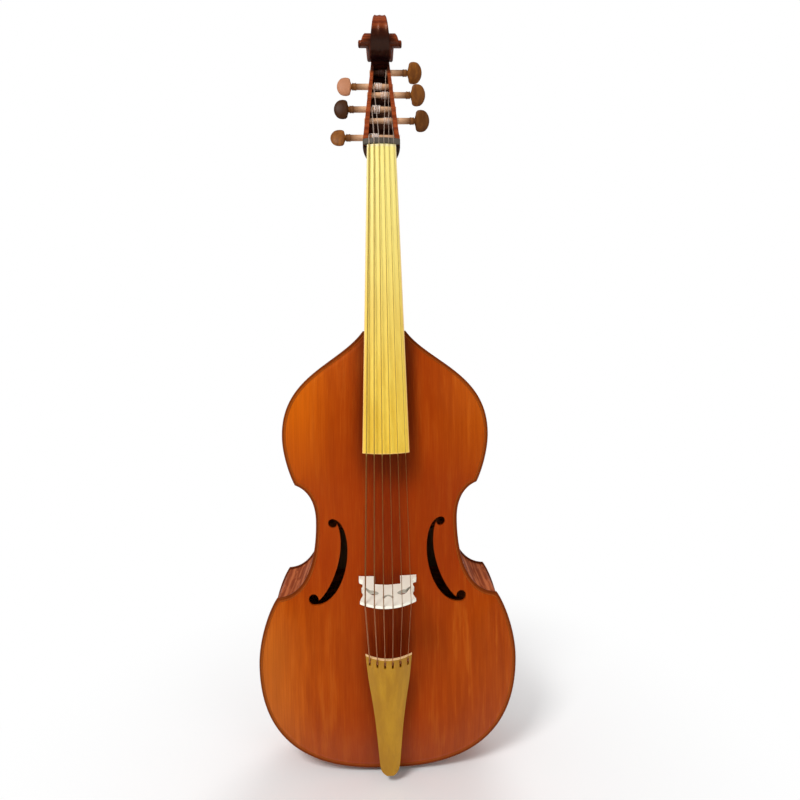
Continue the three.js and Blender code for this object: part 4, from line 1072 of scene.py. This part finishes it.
def softened(points, radius):
    """Rounds the corners of a line of points."""
    points = [np.array(point) for point in points]
    line = [points[0]]
    for before, corner, after in zip(points[:-2], points[1:-1], points[2:]):
        start = towards(corner, before, radius)
        end = towards(corner, after, radius)
        for t in np.linspace(0, 1, BEND_STEPS):
            line.append((1 - t) ** 2 * start + 2 * t * (1 - t) * corner + t * t * end)
    return line + [points[-1]]


def make_string(peg, look):
    radius = peg.radius
    lift = radius + STRING_GAP
    tail_x = string_place(peg.string, TAILPIECE_STRING_SPAN)
    bridge_x = string_place(peg.string, BRIDGE_STRING_SPAN)
    slot_end = TAILPIECE_END - SLOT_SETBACK - SLOT_LENGTH / 2
    bridge_y = BRIDGE_CROWN + crown_drop(bridge_x) - lift
    nut = nut_point(peg)
    x, reach, angle = peg_contact(peg)
    route = [
        (tail_x, tailpiece_top(tail_x, slot_end) + TAILPIECE_THICKNESS / 2, slot_end - radius),
        (tail_x, tailpiece_top(tail_x, slot_end) - radius, slot_end + radius),
        (tail_x, tailpiece_top(tail_x, TAILPIECE_END) - 2 * lift, TAILPIECE_END),
        (bridge_x, bridge_y, BRIDGE_PLACE),
        (bridge_x, bridge_y, BRIDGE_PLACE + BRIDGE_CROWN_LENGTH),
        (nut[0], nut[1], NUT_BOTTOM),
        nut,
        (x, *round_peg(peg, reach, angle)),
    ]
    piece = tube(f"string_{peg.number}_fine", softened(route, STRING_BEND), radius)
    finish_piece(piece, look, f"string_{peg.number}")


def make_winding(peg, look):
    radius = peg.radius
    contact_x, _, contact_angle = peg_contact(peg)
    start = contact_x - peg.side * (2 * radius + WINDING_GAP)
    points = []
    for turn in np.arange(WINDING_TURNS * WINDING_STEPS + 1) / WINDING_STEPS:
        x = start - peg.side * WINDING_PITCH * turn
        reach = shaft_radius(peg, peg.side * x) + STRING_GAP + radius
        points.append(np.array((x, *round_peg(peg, reach, contact_angle - FULL_TURN * turn))))
    first = towards(points[0], points[1], -2 * radius)
    last = towards(points[-1], points[-2], -2 * radius)
    piece = tube(f"string_winding_{peg.number}_fine", [first] + points + [last], radius)
    finish_piece(piece, look, f"string_winding_{peg.number}", peg.body)


# Bridge: shares of its half foot span and of its height

BRIDGE_SIDE_SHARES = [
    (0.98, 0.09), (0.86, 0.14), (0.845, 0.36), (0.875, 0.42), (0.82, 0.51), (0.8, 0.6), (0.825, 0.68),
    (0.87, 0.75),
]
BRIDGE_ARCH_SHARE = 0.33
BRIDGE_LEG_SHARE = 0.3
KIDNEY_SHARES = [
    (0.3, 0.59), (0.38, 0.54), (0.5, 0.5), (0.6, 0.49), (0.7, 0.42), (0.775, 0.39), (0.74, 0.45),
    (0.68, 0.52), (0.6, 0.6), (0.48, 0.65), (0.36, 0.64),
]
HEART_SHARES = [(0, 0.65), (0.1, 0.67), (0.175, 0.715), (0.14, 0.765), (0.08, 0.72), (0, 0.69)]
# The part of the bridge in which a face that looks sideways is the wall of a hole
HOLE_SIDE_SHARE = 0.79
HOLE_RISE_SHARES = (0.36, 0.8)
FOOT_STEPS = 9
CROWN_STEPS = 31
LOOP_STEPS = 6


def belly_outside(x, z):
    return -arch(np.array([x]), np.array([z]))[0][0] - PLATE_THICKNESS


BRIDGE_BASE = belly_outside(BRIDGE_FOOT_HALF, BRIDGE_PLACE) - GLUE_GAP
BRIDGE_HEIGHT = BRIDGE_BASE - BRIDGE_CROWN


def rounded_loop(points):
    """A smooth closed line through points."""
    points = np.array(points)
    line = []
    for i in range(len(points)):
        a, b, c, d = [points[(i + k) % len(points)] for k in (-1, 0, 1, 2)]
        for t in np.arange(LOOP_STEPS) / LOOP_STEPS:
            bend = (a - 2.5 * b + 2 * c - d / 2) * t * t + (1.5 * (b - c) + (d - a) / 2) * t ** 3
            line.append(b + (c - a) * t / 2 + bend)
    return line


def bridge_spot(x_share, rise):
    return x_share * BRIDGE_FOOT_HALF, BRIDGE_BASE - rise * BRIDGE_HEIGHT


def bridge_section():
    """The bridge's outline, seen along the strings, as points of x and y."""
    foot_inner = BRIDGE_FOOT_HALF - BRIDGE_FOOT_WIDTH
    right = [bridge_spot(0, BRIDGE_ARCH_SHARE), (foot_inner, bridge_spot(0, BRIDGE_LEG_SHARE)[1])]
    for x in np.linspace(foot_inner, BRIDGE_FOOT_HALF, FOOT_STEPS):
        lowest = min(belly_outside(x, BRIDGE_PLACE + share * BRIDGE_FOOT_LENGTH) for share in (0, 0.5, 1))
        right.append((x, lowest - GLUE_GAP))
    right += [bridge_spot(*row) for row in BRIDGE_SIDE_SHARES]
    places = np.linspace(BRIDGE_CROWN_HALF, -BRIDGE_CROWN_HALF, CROWN_STEPS)
    crown = [(x, BRIDGE_CROWN + crown_drop(x)) for x in places]
    return right + crown + [(-x, y) for x, y in reversed(right[1:])]


def bridge_top_face(x, y):
    rise = max(0, (BRIDGE_BASE - y) / BRIDGE_HEIGHT)
    return x, y, BRIDGE_PLACE + mix(BRIDGE_FOOT_LENGTH, BRIDGE_CROWN_LENGTH, rise)


def bridge_holes():
    kidneys = [[(side * x, rise) for x, rise in KIDNEY_SHARES] for side in (-1, 1)]
    heart = HEART_SHARES + [(-x, rise) for x, rise in HEART_SHARES[-2:0:-1]]
    places = (BRIDGE_PLACE - CUT_OVERRUN, BRIDGE_PLACE + BRIDGE_FOOT_LENGTH + CUT_OVERRUN)
    tools = []
    for hole in kidneys + [heart]:
        line = rounded_loop([bridge_spot(*row) for row in hole])
        tools.append(loft("hole", [[(x, y, z) for x, y in line] for z in places]))
    return tools


def make_bridge(look, hole_shade_look):
    section = bridge_section()
    low_face = [(x, y, BRIDGE_PLACE) for x, y in section]
    bridge = loft("bridge_fine", [low_face, [bridge_top_face(x, y) for x, y in section]])
    carve(bridge, bridge_holes())
    bevel(bridge, BRIDGE_BEVEL, segments=2, degrees=50)
    finish_piece(bridge, look, "bridge")
    # Painted shade: the walls of the holes take the darker copy of the bridge maple.
    bridge.data.materials.append(hole_shade_look)
    lowest, highest = HOLE_RISE_SHARES
    for face in bridge.data.polygons:
        rise = (BRIDGE_BASE - face.center.y) / BRIDGE_HEIGHT
        inner = abs(face.center.x) < HOLE_SIDE_SHARE * BRIDGE_FOOT_HALF and lowest < rise < highest
        face.material_index = int(inner and abs(face.normal.z) < 0.5)


# Tailpiece: rows of length share and half width share, and the runs of rings through them

TAILPIECE_HALF_SHARES = [
    (0, 0.15), (0.02, 0.3), (0.045, 0.38), (0.085, 0.435), (0.24, 0.507), (0.45, 0.61), (0.65, 0.75),
    (0.81, 0.89), (1, 1),
]
TAILPIECE_RUNS = [(0, 0.085, 14), (0.1, 0.9, 32), (0.91, 1, 8)]
TAILPIECE_COLUMNS = 25
THINNING_POWER = 1.5


def tailpiece_ring(share, width_share):
    z = TAILPIECE_BOTTOM + share * TAILPIECE_LENGTH
    x = np.linspace(-1, 1, TAILPIECE_COLUMNS) * width_share * TAILPIECE_HALF
    top = [(a, tailpiece_top(a, z), z) for a in x]
    end = ramp(z, TAILPIECE_END - TAILPIECE_THINNING, TAILPIECE_END) ** THINNING_POWER
    thickness = TAILPIECE_THICKNESS * mix(1, TAILPIECE_END_SHARE, end)
    return top + [(a, y + thickness, z) for a, y, z in reversed(top)]


def tailpiece_cuts():
    """The slots for the strings, and the pocket for the tip of the hook."""
    top = TAILPIECE_END - SLOT_SETBACK
    front = TAILPIECE_CROWN - CUT_OVERRUN
    back = TAILPIECE_CROWN + TAILPIECE_ARCH + TAILPIECE_THICKNESS + CUT_OVERRUN
    tools = []
    for index in range(len(STRING_RADII)):
        x = string_place(index, TAILPIECE_STRING_SPAN)
        low = (x - SLOT_WIDTH / 2, front, top - SLOT_LENGTH)
        tools.append(box_solid("slot", low, (x + SLOT_WIDTH / 2, back, top)))
    half = HOOK_HALF + GLUE_GAP
    tip_back = tailpiece_top(HOOK_HALF, HOOK_HEIGHT) + TAILPIECE_THICKNESS
    low = (-half, tip_back - HOOK_TIP / 2 - GLUE_GAP, HOOK_HEIGHT - HOOK_TIP - GLUE_GAP)
    high = (half, tip_back + CUT_OVERRUN, HOOK_HEIGHT + GLUE_GAP)
    return tools + [box_solid("pocket", low, high)]


def make_tailpiece(look):
    shares = runs(TAILPIECE_RUNS)
    widths = smooth_table(TAILPIECE_HALF_SHARES, shares)
    tailpiece = loft("tailpiece_fine", [tailpiece_ring(*row) for row in zip(shares, widths)])
    carve(tailpiece, tailpiece_cuts())
    bevel(tailpiece, WOOD_BEVEL, segments=3, degrees=50)
    finish_piece(tailpiece, look, "tailpiece")


# Materials

def rgb(red, green, blue):
    """A colour as it reads on a screen, 0 to 255, as Blender's linear values."""
    def linear(value):
        share = value / 255
        return share / 12.92 if share <= 0.04045 else ((share + 0.055) / 1.055) ** 2.4
    return linear(red), linear(green), linear(blue), 1.0


class Nodes:
    """A node tree, and the means to add to it."""

    def __init__(self, tree):
        self.tree = tree

    def feed(self, value, socket):
        """Links an output or sets a value, of which three numbers are a colour on a screen."""
        if isinstance(value, bpy.types.NodeSocket):
            self.tree.links.new(value, socket)
        elif isinstance(value, tuple) and len(value) == 3:
            socket.default_value = rgb(*value)
        else:
            socket.default_value = value

    def node(self, kind, values=None, **settings):
        node = self.tree.nodes.new(kind)
        for key, value in settings.items():
            setattr(node, key, value)
        for key, value in (values or {}).items():
            self.feed(value, node.inputs[key])
        return node

    def math(self, operation, *values):
        return self.node("ShaderNodeMath", dict(enumerate(values)), operation=operation).outputs["Value"]

    def times(self, a, b):
        return self.math("MULTIPLY", a, b)


class Look(Nodes):
    """One material, its nodes, and the colour that they have built up so far."""

    def __init__(self, name, roughness=0.5, coat=0.0, coat_roughness=0.1, specular=0.3, tint=None):
        self.material = bpy.data.materials.new(name)
        self.material.use_nodes = True
        super().__init__(self.material.node_tree)
        self.shader = self.tree.nodes["Principled BSDF"]
        self.colour = None
        self.set("Roughness", roughness)
        self.set("Coat Weight", coat)
        self.set("Coat Roughness", coat_roughness)
        self.set("Specular IOR Level", specular)
        if tint:
            self.set("Specular Tint", tint)

    def set(self, name, value):
        self.feed(value, self.shader.inputs[name])

    def place(self, scale, offset=(0, 0, 0)):
        """Object coordinates in metres, times a scale along each axis."""
        coordinates = self.node("ShaderNodeTexCoord")
        mapping = self.node("ShaderNodeMapping", {"Vector": coordinates.outputs["Object"]})
        mapping.inputs["Scale"].default_value = scale
        mapping.inputs["Location"].default_value = offset
        return mapping.outputs["Vector"]

    def axis(self, name):
        coordinates = self.node("ShaderNodeTexCoord")
        split = self.node("ShaderNodeSeparateXYZ", {"Vector": coordinates.outputs["Object"]})
        return split.outputs[name]

    def layer(self, name):
        return self.node("ShaderNodeAttribute", attribute_name=name).outputs["Fac"]

    def noise(self, vector, detail, roughness=0.5):
        values = {"Vector": vector, "Scale": 1.0, "Detail": detail, "Roughness": roughness}
        return self.node("ShaderNodeTexNoise", values).outputs["Fac"]

    def join(self, values, scales):
        """A vector of three values, each times its scale."""
        parts = [self.times(value, scale) for value, scale in zip(values, scales)]
        return self.node("ShaderNodeCombineXYZ", dict(zip("XYZ", parts))).outputs["Vector"]

    def fit(self, value, low, high, to_low=0.0, to_high=1.0):
        """Eases from one share to another between two values, and stays level outside them."""
        values = {"Value": value, "From Min": low, "From Max": high, "To Min": to_low, "To Max": to_high}
        node = self.node("ShaderNodeMapRange", values, interpolation_type="SMOOTHSTEP")
        return node.outputs["Result"]

    def band(self, value, start, end, soft):
        """1 between two distances, 0 outside them, with soft borders."""
        rise = self.fit(value, start - soft, start + soft)
        return self.times(rise, self.fit(value, end - soft, end + soft, 1.0, 0.0))

    def blend(self, share, a, b):
        """A mix of two colours, by the share of the second."""
        return self.node("ShaderNodeMix", {0: share, 6: a, 7: b}, data_type="RGBA").outputs[2]

    def over(self, share, colour):
        """Lays a colour over the one so far."""
        self.colour = self.blend(share, self.colour, colour)

    def bump(self, height, distance, strength):
        values = {"Height": height, "Distance": distance, "Strength": strength}
        self.set("Normal", self.node("ShaderNodeBump", values).outputs["Normal"])

    def done(self):
        self.set("Base Color", self.colour)
        return self.material


VARNISH_TINT = (255, 150, 60)
RIM_START = 2.8 * MM
RIM_END = 4.8 * MM
PURFLING_PLACE = 4.4 * MM
PURFLING_LINE = 0.45 * MM
PURFLING_WIDTH = 1.7 * MM
LINE_SOFTNESS = 0.12 * MM


def add_purfling(look, painted_rim_shading, dark, light):
    """A dark rim of painted shade on the rounded edge, and two dark inlaid lines with a paler strip
    between them.
    """
    edge = look.layer("edge")
    # Painted shade along the rounded edge.
    look.over(look.fit(edge, RIM_START, RIM_END, 0.85, 0.0), painted_rim_shading)
    inner = PURFLING_PLACE + PURFLING_WIDTH
    look.over(look.band(edge, PURFLING_PLACE, inner, LINE_SOFTNESS), light)
    for start in (PURFLING_PLACE, inner - PURFLING_LINE):
        look.over(look.band(edge, start, start + PURFLING_LINE, LINE_SOFTNESS), dark)


# Tones laid over the belly: a colour and its ramps, of which each has an axis, two places in mm and
# the shares there. "aside" counts from the middle to both sides.
TAIL_RAMP = ("Z", 90, 215, 0.2, 1)
BELLY_TONES = [
    # Painted light from the left: the lit left flank, and painted highlights on the sides of the upper
    # body, stronger on the left
    ((196, 108, 30), [("X", -195, -110, 1, 0), ("Z", 190, 290, 0.5, 0)]),
    ((216, 106, 10), [("X", -62, -150, 0, 0.7), ("Z", 400, 500, 0, 1)]),
    ((216, 106, 10), [("X", 80, 158, 0, 0.42), ("Z", 400, 500, 0, 1)]),
    # The waist and the middle
    ((150, 42, 2), [("Z", 240, 330, 0, 1), ("Z", 430, 600, 0.58, 0.1)]),
    ((150, 48, 5), [("aside", 20, 120, 0.66, 0)]),
    # Painted shade under the strings, and painted shadows deeper below the bridge and beside the
    # fingerboard
    ((108, 26, 6), [("aside", 16, 46, 0.66, 0), TAIL_RAMP]),
    ((84, 18, 4), [("aside", 24, 50, 0.6, 0), ("Z", 300, 330, 1, 0), TAIL_RAMP]),
    ((66, 16, 8), [("aside", 26, 60, 0.75, 0), ("Z", 425, 510, 0, 1)]),
    # The foot
    ((160, 66, 8), [("Z", 0, 130, 0.25, 0)]),
]


def belly_look():
    """Varnished spruce: straight grain, a darker middle, painted light from the left, and a band of
    painted shade under the strings.
    """
    look = Look("varnished spruce", 0.38, 0.02, 0.2, 0.2, VARNISH_TINT)
    lines = look.fit(look.noise(look.place((520, 40, 7)), 3.0, 0.6), 0.42, 0.6)
    fine = look.noise(look.place((1500, 100, 24)), 2.0)
    streak = look.noise(look.place((96, 20, 9), (5, 2, 7)), 3.0, 0.55)
    figure = look.noise(look.place((28, 8, 5), (3, 0, 1)), 4.0, 0.55)
    cloud = look.noise(look.place((7, 7, 5), (9, 0, 4)), 3.0)
    x = look.axis("X")
    places = {"X": x, "Z": look.axis("Z"), "aside": look.math("ABSOLUTE", x)}
    look.colour = look.blend(figure, (162, 60, 4), (192, 90, 14))
    # Painted shade: darker towards the right, away from the light.
    look.over(look.fit(x, -60 * MM, 150 * MM, 0.0, 0.45), (148, 50, 6))
    look.over(look.fit(cloud, 0.35, 0.7, 0.0, 0.5), (156, 56, 6))
    look.over(look.fit(streak, 0.42, 0.66, 0.0, 0.42), (138, 48, 4))
    look.over(look.fit(streak, 0.3, 0.46, 0.32, 0.0), (200, 106, 30))
    for colour, ramps in BELLY_TONES:
        share = 1.0
        for axis, first, last, start, end in ramps:
            share = look.times(share, look.fit(places[axis], first * MM, last * MM, start, end))
        look.over(share, colour)
    look.over(look.times(lines, 0.14), (120, 38, 6))
    look.over(look.fit(fine, 0.5, 0.75, 0.0, 0.16), (206, 110, 34))
    add_purfling(look, (96, 40, 10), (78, 30, 10), (170, 84, 26))
    look.bump(look.math("ADD", look.times(lines, -0.5), look.times(fine, 0.3)), 0.1 * MM, 0.4)
    return look.done()


def flamed_look(name, plain, dark, light, gloss=0.06, specular=0.3, dark_layers=()):
    """Maple whose light and dark bars run across the grain, along the piece's own length."""
    look = Look(name, 0.36, gloss, 0.2, specular, VARNISH_TINT)
    along = look.layer("along")
    wander = look.noise(look.join((look.axis("X"), look.axis("Y"), along), (16, 16, 40)), 2.0)
    bars = look.noise(look.join((along, wander, 0), (165, 4, 0)), 1.5)
    fibre = look.noise(look.place((700, 700, 30)), 3.0)
    look.colour = look.blend(look.fit(bars, 0.38, 0.64), dark, light)
    look.over(0.35, plain)
    look.over(look.fit(fibre, 0.5, 0.75, 0.0, 0.25), dark)
    # Dark layers: painted shade in the pegbox's cavity and under the scroll, the scroll's darker varnish,
    # and the dark top of the neck.
    for layer, share, colour in dark_layers:
        look.over(look.times(look.layer(layer), share), colour)
    look.bump(look.math("ADD", look.times(bars, 0.5), fibre), 0.06 * MM, 0.5)
    return look


def back_look(maple):
    """Flamed maple in two halves with a dark joint between them."""
    look = flamed_look("flamed maple back", *maple)
    joint = look.fit(look.math("ABSOLUTE", look.axis("X")), 0.2 * MM, 0.5 * MM, 0.7, 0.0)
    look.over(joint, (60, 26, 14))
    add_purfling(look, (84, 34, 14), (60, 24, 12), (178, 100, 46))
    return look.done()


def plank_look(name, base, dark, light, roughness=0.5, coat=0.0, streak=60.0):
    """A wood whose streaks run along Z, with fine pores."""
    look = Look(name, roughness, coat, specular=0.25)
    streaks = look.noise(look.place((streak, streak, 5)), 4.0, 0.6)
    pores = look.noise(look.place((900, 900, 45), (2, 5, 1)), 2.0)
    cloud = look.noise(look.place((20, 20, 9), (1, 7, 3)), 3.0)
    look.colour = look.blend(look.fit(streaks, 0.35, 0.7), dark, light)
    look.over(0.5, base)
    look.over(look.fit(cloud, 0.45, 0.7, 0.0, 0.3), dark)
    look.over(look.fit(pores, 0.52, 0.7, 0.0, 0.2), dark)
    look.bump(look.math("ADD", look.times(streaks, 0.6), pores), 0.08 * MM, 0.45)
    return look


BOARD_RIM_START = 0.9 * MM
BOARD_RIM_END = 1.9 * MM
END_GRAIN_START = NECK_TOP - 5 * MM
END_GRAIN_FULL = NECK_TOP - 4 * MM
TAILPIECE_LIP_START = TAILPIECE_END - 1.4 * MM
TAILPIECE_LIP_FULL = TAILPIECE_END - 0.6 * MM
STRETCH_BLEND = 3 * MM


def fingerboard_look():
    """Yellow boxwood, paler towards the nut, with a painted highlight along its rim and pale end grain.
    """
    look = plank_look("boxwood", (240, 200, 64), (218, 172, 44), (250, 218, 92), 0.45, 0.0, 90.0)
    height = look.axis("Z")
    top = look.fit(height, BOARD_BOTTOM, NECK_TOP, 0.0, 0.9)
    look.over(top, (250, 236, 142))
    taper = (BOARD_NUT_HALF - BOARD_END_HALF) / BOARD_LENGTH
    half = look.math("MULTIPLY_ADD", height, taper, BOARD_END_HALF - taper * BOARD_BOTTOM)
    inwards = look.math("SUBTRACT", half, look.math("ABSOLUTE", look.axis("X")))
    edge = look.math("MINIMUM", inwards, look.math("SUBTRACT", height, BOARD_BOTTOM))
    # Painted highlight along the sides and the lower end.
    painted_rim_shading = look.blend(top, (250, 190, 112), (244, 222, 180))
    look.over(look.fit(edge, BOARD_RIM_START, BOARD_RIM_END, 0.75, 0.0), painted_rim_shading)
    look.over(look.fit(height, END_GRAIN_START, END_GRAIN_FULL, 0.0, 0.55), (238, 226, 188))
    return look.done()


def tailpiece_look():
    look = plank_look("oiled tailpiece", (182, 130, 16), (156, 107, 14), (192, 144, 28), 0.45, 0.0, 70.0)
    # Painted highlight on the top end, which faces the light from above.
    lip = look.fit(look.axis("Z"), TAILPIECE_LIP_START, TAILPIECE_LIP_FULL, 0.0, 0.92)
    look.over(lip, (255, 214, 158))
    return look.done()


def peg_look():
    look = plank_look("peg wood", (128, 74, 20), (86, 44, 12), (150, 92, 32), 0.45, 0.0, 160.0)
    look.set("Specular IOR Level", 0.12)
    glow = look.layer("glow")
    # Painted light and shade from the glow: paler heads where the light falls, dark brown in shade.
    look.over(look.fit(glow, 0.5, 1.0, 0.0, 0.75), (200, 138, 104))
    look.over(look.fit(glow, 0.0, 0.5, 1.0, 0.0), (48, 24, 8))
    cloud = look.noise(look.place((30, 300, 300)), 4.0)
    look.over(look.layer("tone"), look.blend(cloud, (212, 160, 120), (244, 200, 160)))
    return look.done()


def bridge_look(name, shade_share):
    look = Look(name)
    flecks = look.noise(look.place((160, 900, 900)), 2.0)
    cloud = look.noise(look.place((40, 40, 40)), 3.0)
    look.colour = look.blend(cloud, (255, 254, 240), (255, 248, 228))
    look.over(look.fit(flecks, 0.58, 0.72, 0.0, 0.1), (222, 190, 150))
    # Painted shade, on the walls of the holes.
    look.over(shade_share, (104, 88, 64))
    look.bump(flecks, 0.05 * MM, 0.5)
    return look.done()


def gut_look(name, dark, light, clear=0.0, stretches=()):
    """Twisted gut. Each stretch starts at a height and takes on the tone of what lies behind it, painted
    in; above the nut the tone is a painted highlight.
    """
    look = Look(name, 0.35, 0.1)
    if clear:
        look.set("Transmission Weight", clear)
        look.set("IOR", 1.2)
    twist = look.noise(look.place((900, 900, 220)), 2.0)
    look.colour = look.blend(twist, dark, light)
    for start, stretch_dark, stretch_light in stretches:
        there = look.fit(look.axis("Z"), start - STRETCH_BLEND, start + STRETCH_BLEND)
        look.over(there, look.blend(twist, stretch_dark, stretch_light))
    look.bump(twist, 0.05 * MM, 0.4)
    return look.done()


def make_looks():
    maple = [(156, 72, 34), (122, 50, 24), (188, 104, 58)]
    rib_maple = [(164, 82, 46), (118, 50, 28), (194, 110, 68)]
    carved_maple = [(134, 54, 22), (96, 35, 14), (160, 74, 33)]
    aged_spruce = [(150, 112, 72), (120, 86, 52), (172, 134, 90)]
    ebony = [(82, 74, 64), (58, 52, 44), (106, 96, 84)]
    neck_dark_top = [("stain", 1.0, (40, 34, 32))]
    # Painted shade in the cavity, and painted shade with darker varnish under the scroll.
    pegbox_shade_and_varnish = [("shade", 0.92, (20, 5, 5)), ("dark", 1.0, (18, 3, 6))]
    # Painted see-through tones of the strings, with the dark belly and the fingerboard behind them, and a
    # painted highlight above the nut.
    stretches = [
        (BRIDGE_PLACE, (132, 82, 34), (166, 112, 62)),
        (BOARD_BOTTOM, (176, 150, 66), (206, 182, 96)),
        (NECK_TOP, (186, 164, 146), (220, 200, 186)),
    ]
    return {
        "belly_spruce": belly_look(),
        "back": back_look(maple),
        "flamed_maple": flamed_look("flamed maple", *rib_maple, 0.12, 0.0).done(),
        "neck": flamed_look("flamed maple neck", *maple, dark_layers=neck_dark_top).done(),
        "pegbox": flamed_look("carved maple", *carved_maple, 0.25, dark_layers=pegbox_shade_and_varnish).done(),
        "inner_spruce": plank_look("aged spruce", *aged_spruce, 0.75).done(),
        "fingerboard_boxwood": fingerboard_look(),
        "tailpiece_wood": tailpiece_look(),
        "ebony": plank_look("ebony", *ebony, 0.4, 0.05, 200.0).done(),
        "bridge_maple": bridge_look("bridge maple", 0.0),
        "bridge_hole": bridge_look("bridge maple in its holes", 0.6),
        "peg_wood": peg_look(),
        "gut": gut_look("gut", (172, 108, 64), (204, 142, 98), 0.5, stretches),
        # Painted light: the windings are painted pale as a highlight, and the one under the scroll dark
        # as its shadow.
        "shaded_winding": gut_look("gut in the shadow of the scroll", (52, 26, 20), (84, 50, 40)),
        "winding": gut_look("gut on the pegs", (232, 208, 194), (255, 246, 238)),
    }


# Floor, light and background

FLOOR_REACH = 12
FLOOR_GAP = 0.2 * MM
SHADOW_REACH = 0.14
WHITE_REACH = 0.7


def make_stage():
    """A pale floor that keeps the shadow near the object and turns white away from it."""
    reach = FLOOR_REACH
    corners = [(-reach, -reach, 0), (reach, -reach, 0), (reach, reach, 0), (-reach, reach, 0)]
    floor = build("floor", corners, [(0, 1, 2, 3)])
    floor.location.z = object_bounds()[0][2] - FLOOR_GAP
    look = Look("pale floor", 0.9, specular=0.1)
    look.set("Base Color", (0.95, 0.95, 0.95, 1))
    flat = {0: look.place((1, 1, 0))}
    far = look.node("ShaderNodeVectorMath", flat, operation="LENGTH").outputs["Value"]
    glow = look.node("ShaderNodeEmission", {"Color": (1, 1, 1, 1), "Strength": 1.0})
    rays = look.node("ShaderNodeLightPath")
    share = look.times(look.fit(far, SHADOW_REACH, WHITE_REACH), rays.outputs["Is Camera Ray"])
    both = look.node("ShaderNodeMixShader", {0: share, 1: look.shader.outputs[0], 2: glow.outputs[0]})
    look.feed(both.outputs[0], look.tree.nodes["Material Output"].inputs["Surface"])
    floor.data.materials.append(look.material)


def make_lamp(name, place, target, size, power, shines=True):
    data = bpy.data.lights.new(name, "AREA")
    data.size = size
    data.energy = power
    lamp = bpy.data.objects.new(name, data)
    lamp.location = place
    lamp.visible_glossy = shines
    lamp.rotation_euler = (Vector(target) - Vector(place)).to_track_quat("-Z", "Y").to_euler()
    bpy.context.scene.collection.objects.link(lamp)


def make_world(level, reflected):
    """An even white world: white behind the object, dimmer in reflections and as light."""
    world = bpy.data.worlds.new("studio")
    world.use_nodes = True
    nodes = Nodes(world.node_tree)
    rays = nodes.node("ShaderNodeLightPath").outputs
    strength = nodes.math("MULTIPLY_ADD", rays["Is Camera Ray"], 1 - level, level)
    strength = nodes.math("MULTIPLY_ADD", rays["Is Glossy Ray"], reflected - level, strength)
    background = nodes.tree.nodes["Background"]
    nodes.feed(strength, background.inputs["Strength"])
    nodes.feed((1, 1, 1, 1), background.inputs["Color"])
    bpy.context.scene.world = world


def make_light():
    make_world(0.42, 0.16)
    middle = (0, 0, 0.6)
    make_lamp("key", (-1.3, -2.0, 2.9), middle, 0.9, 72)
    make_lamp("fill", (2.2, -2.4, 1.4), middle, 1.6, 15)
    make_lamp("rim", (0.6, 2.4, 1.8), middle, 1.5, 30, shines=False)


def main():
    make_camera()
    looks = make_looks()
    for name, node in frame["nodes"].items():
        node.data.materials.clear()
        node.data.materials.append(looks[SLOTS[name]])
        shade(node)
    make_belly(looks["belly_spruce"])
    make_back(looks["back"])
    make_ribs(looks["flamed_maple"])
    make_fingerboard(looks["fingerboard_boxwood"])
    make_neck(looks["neck"])
    make_nut(looks["ebony"])
    make_pegbox(looks["pegbox"])
    make_scroll(looks["pegbox"])
    for peg in PEGS:
        make_peg(peg, looks["peg_wood"])
        make_winding(peg, looks["winding" if peg.tone else "shaded_winding"])
        make_string(peg, looks["gut"])
    make_bridge(looks["bridge_maple"], looks["bridge_hole"])
    make_tailpiece(looks["tailpiece_wood"])
    bevel(frame["nodes"]["tail_hook_bar"], WOOD_BEVEL)
    make_stage()
    make_light()
    bpy.context.scene.view_settings.view_transform = "Standard"


main()
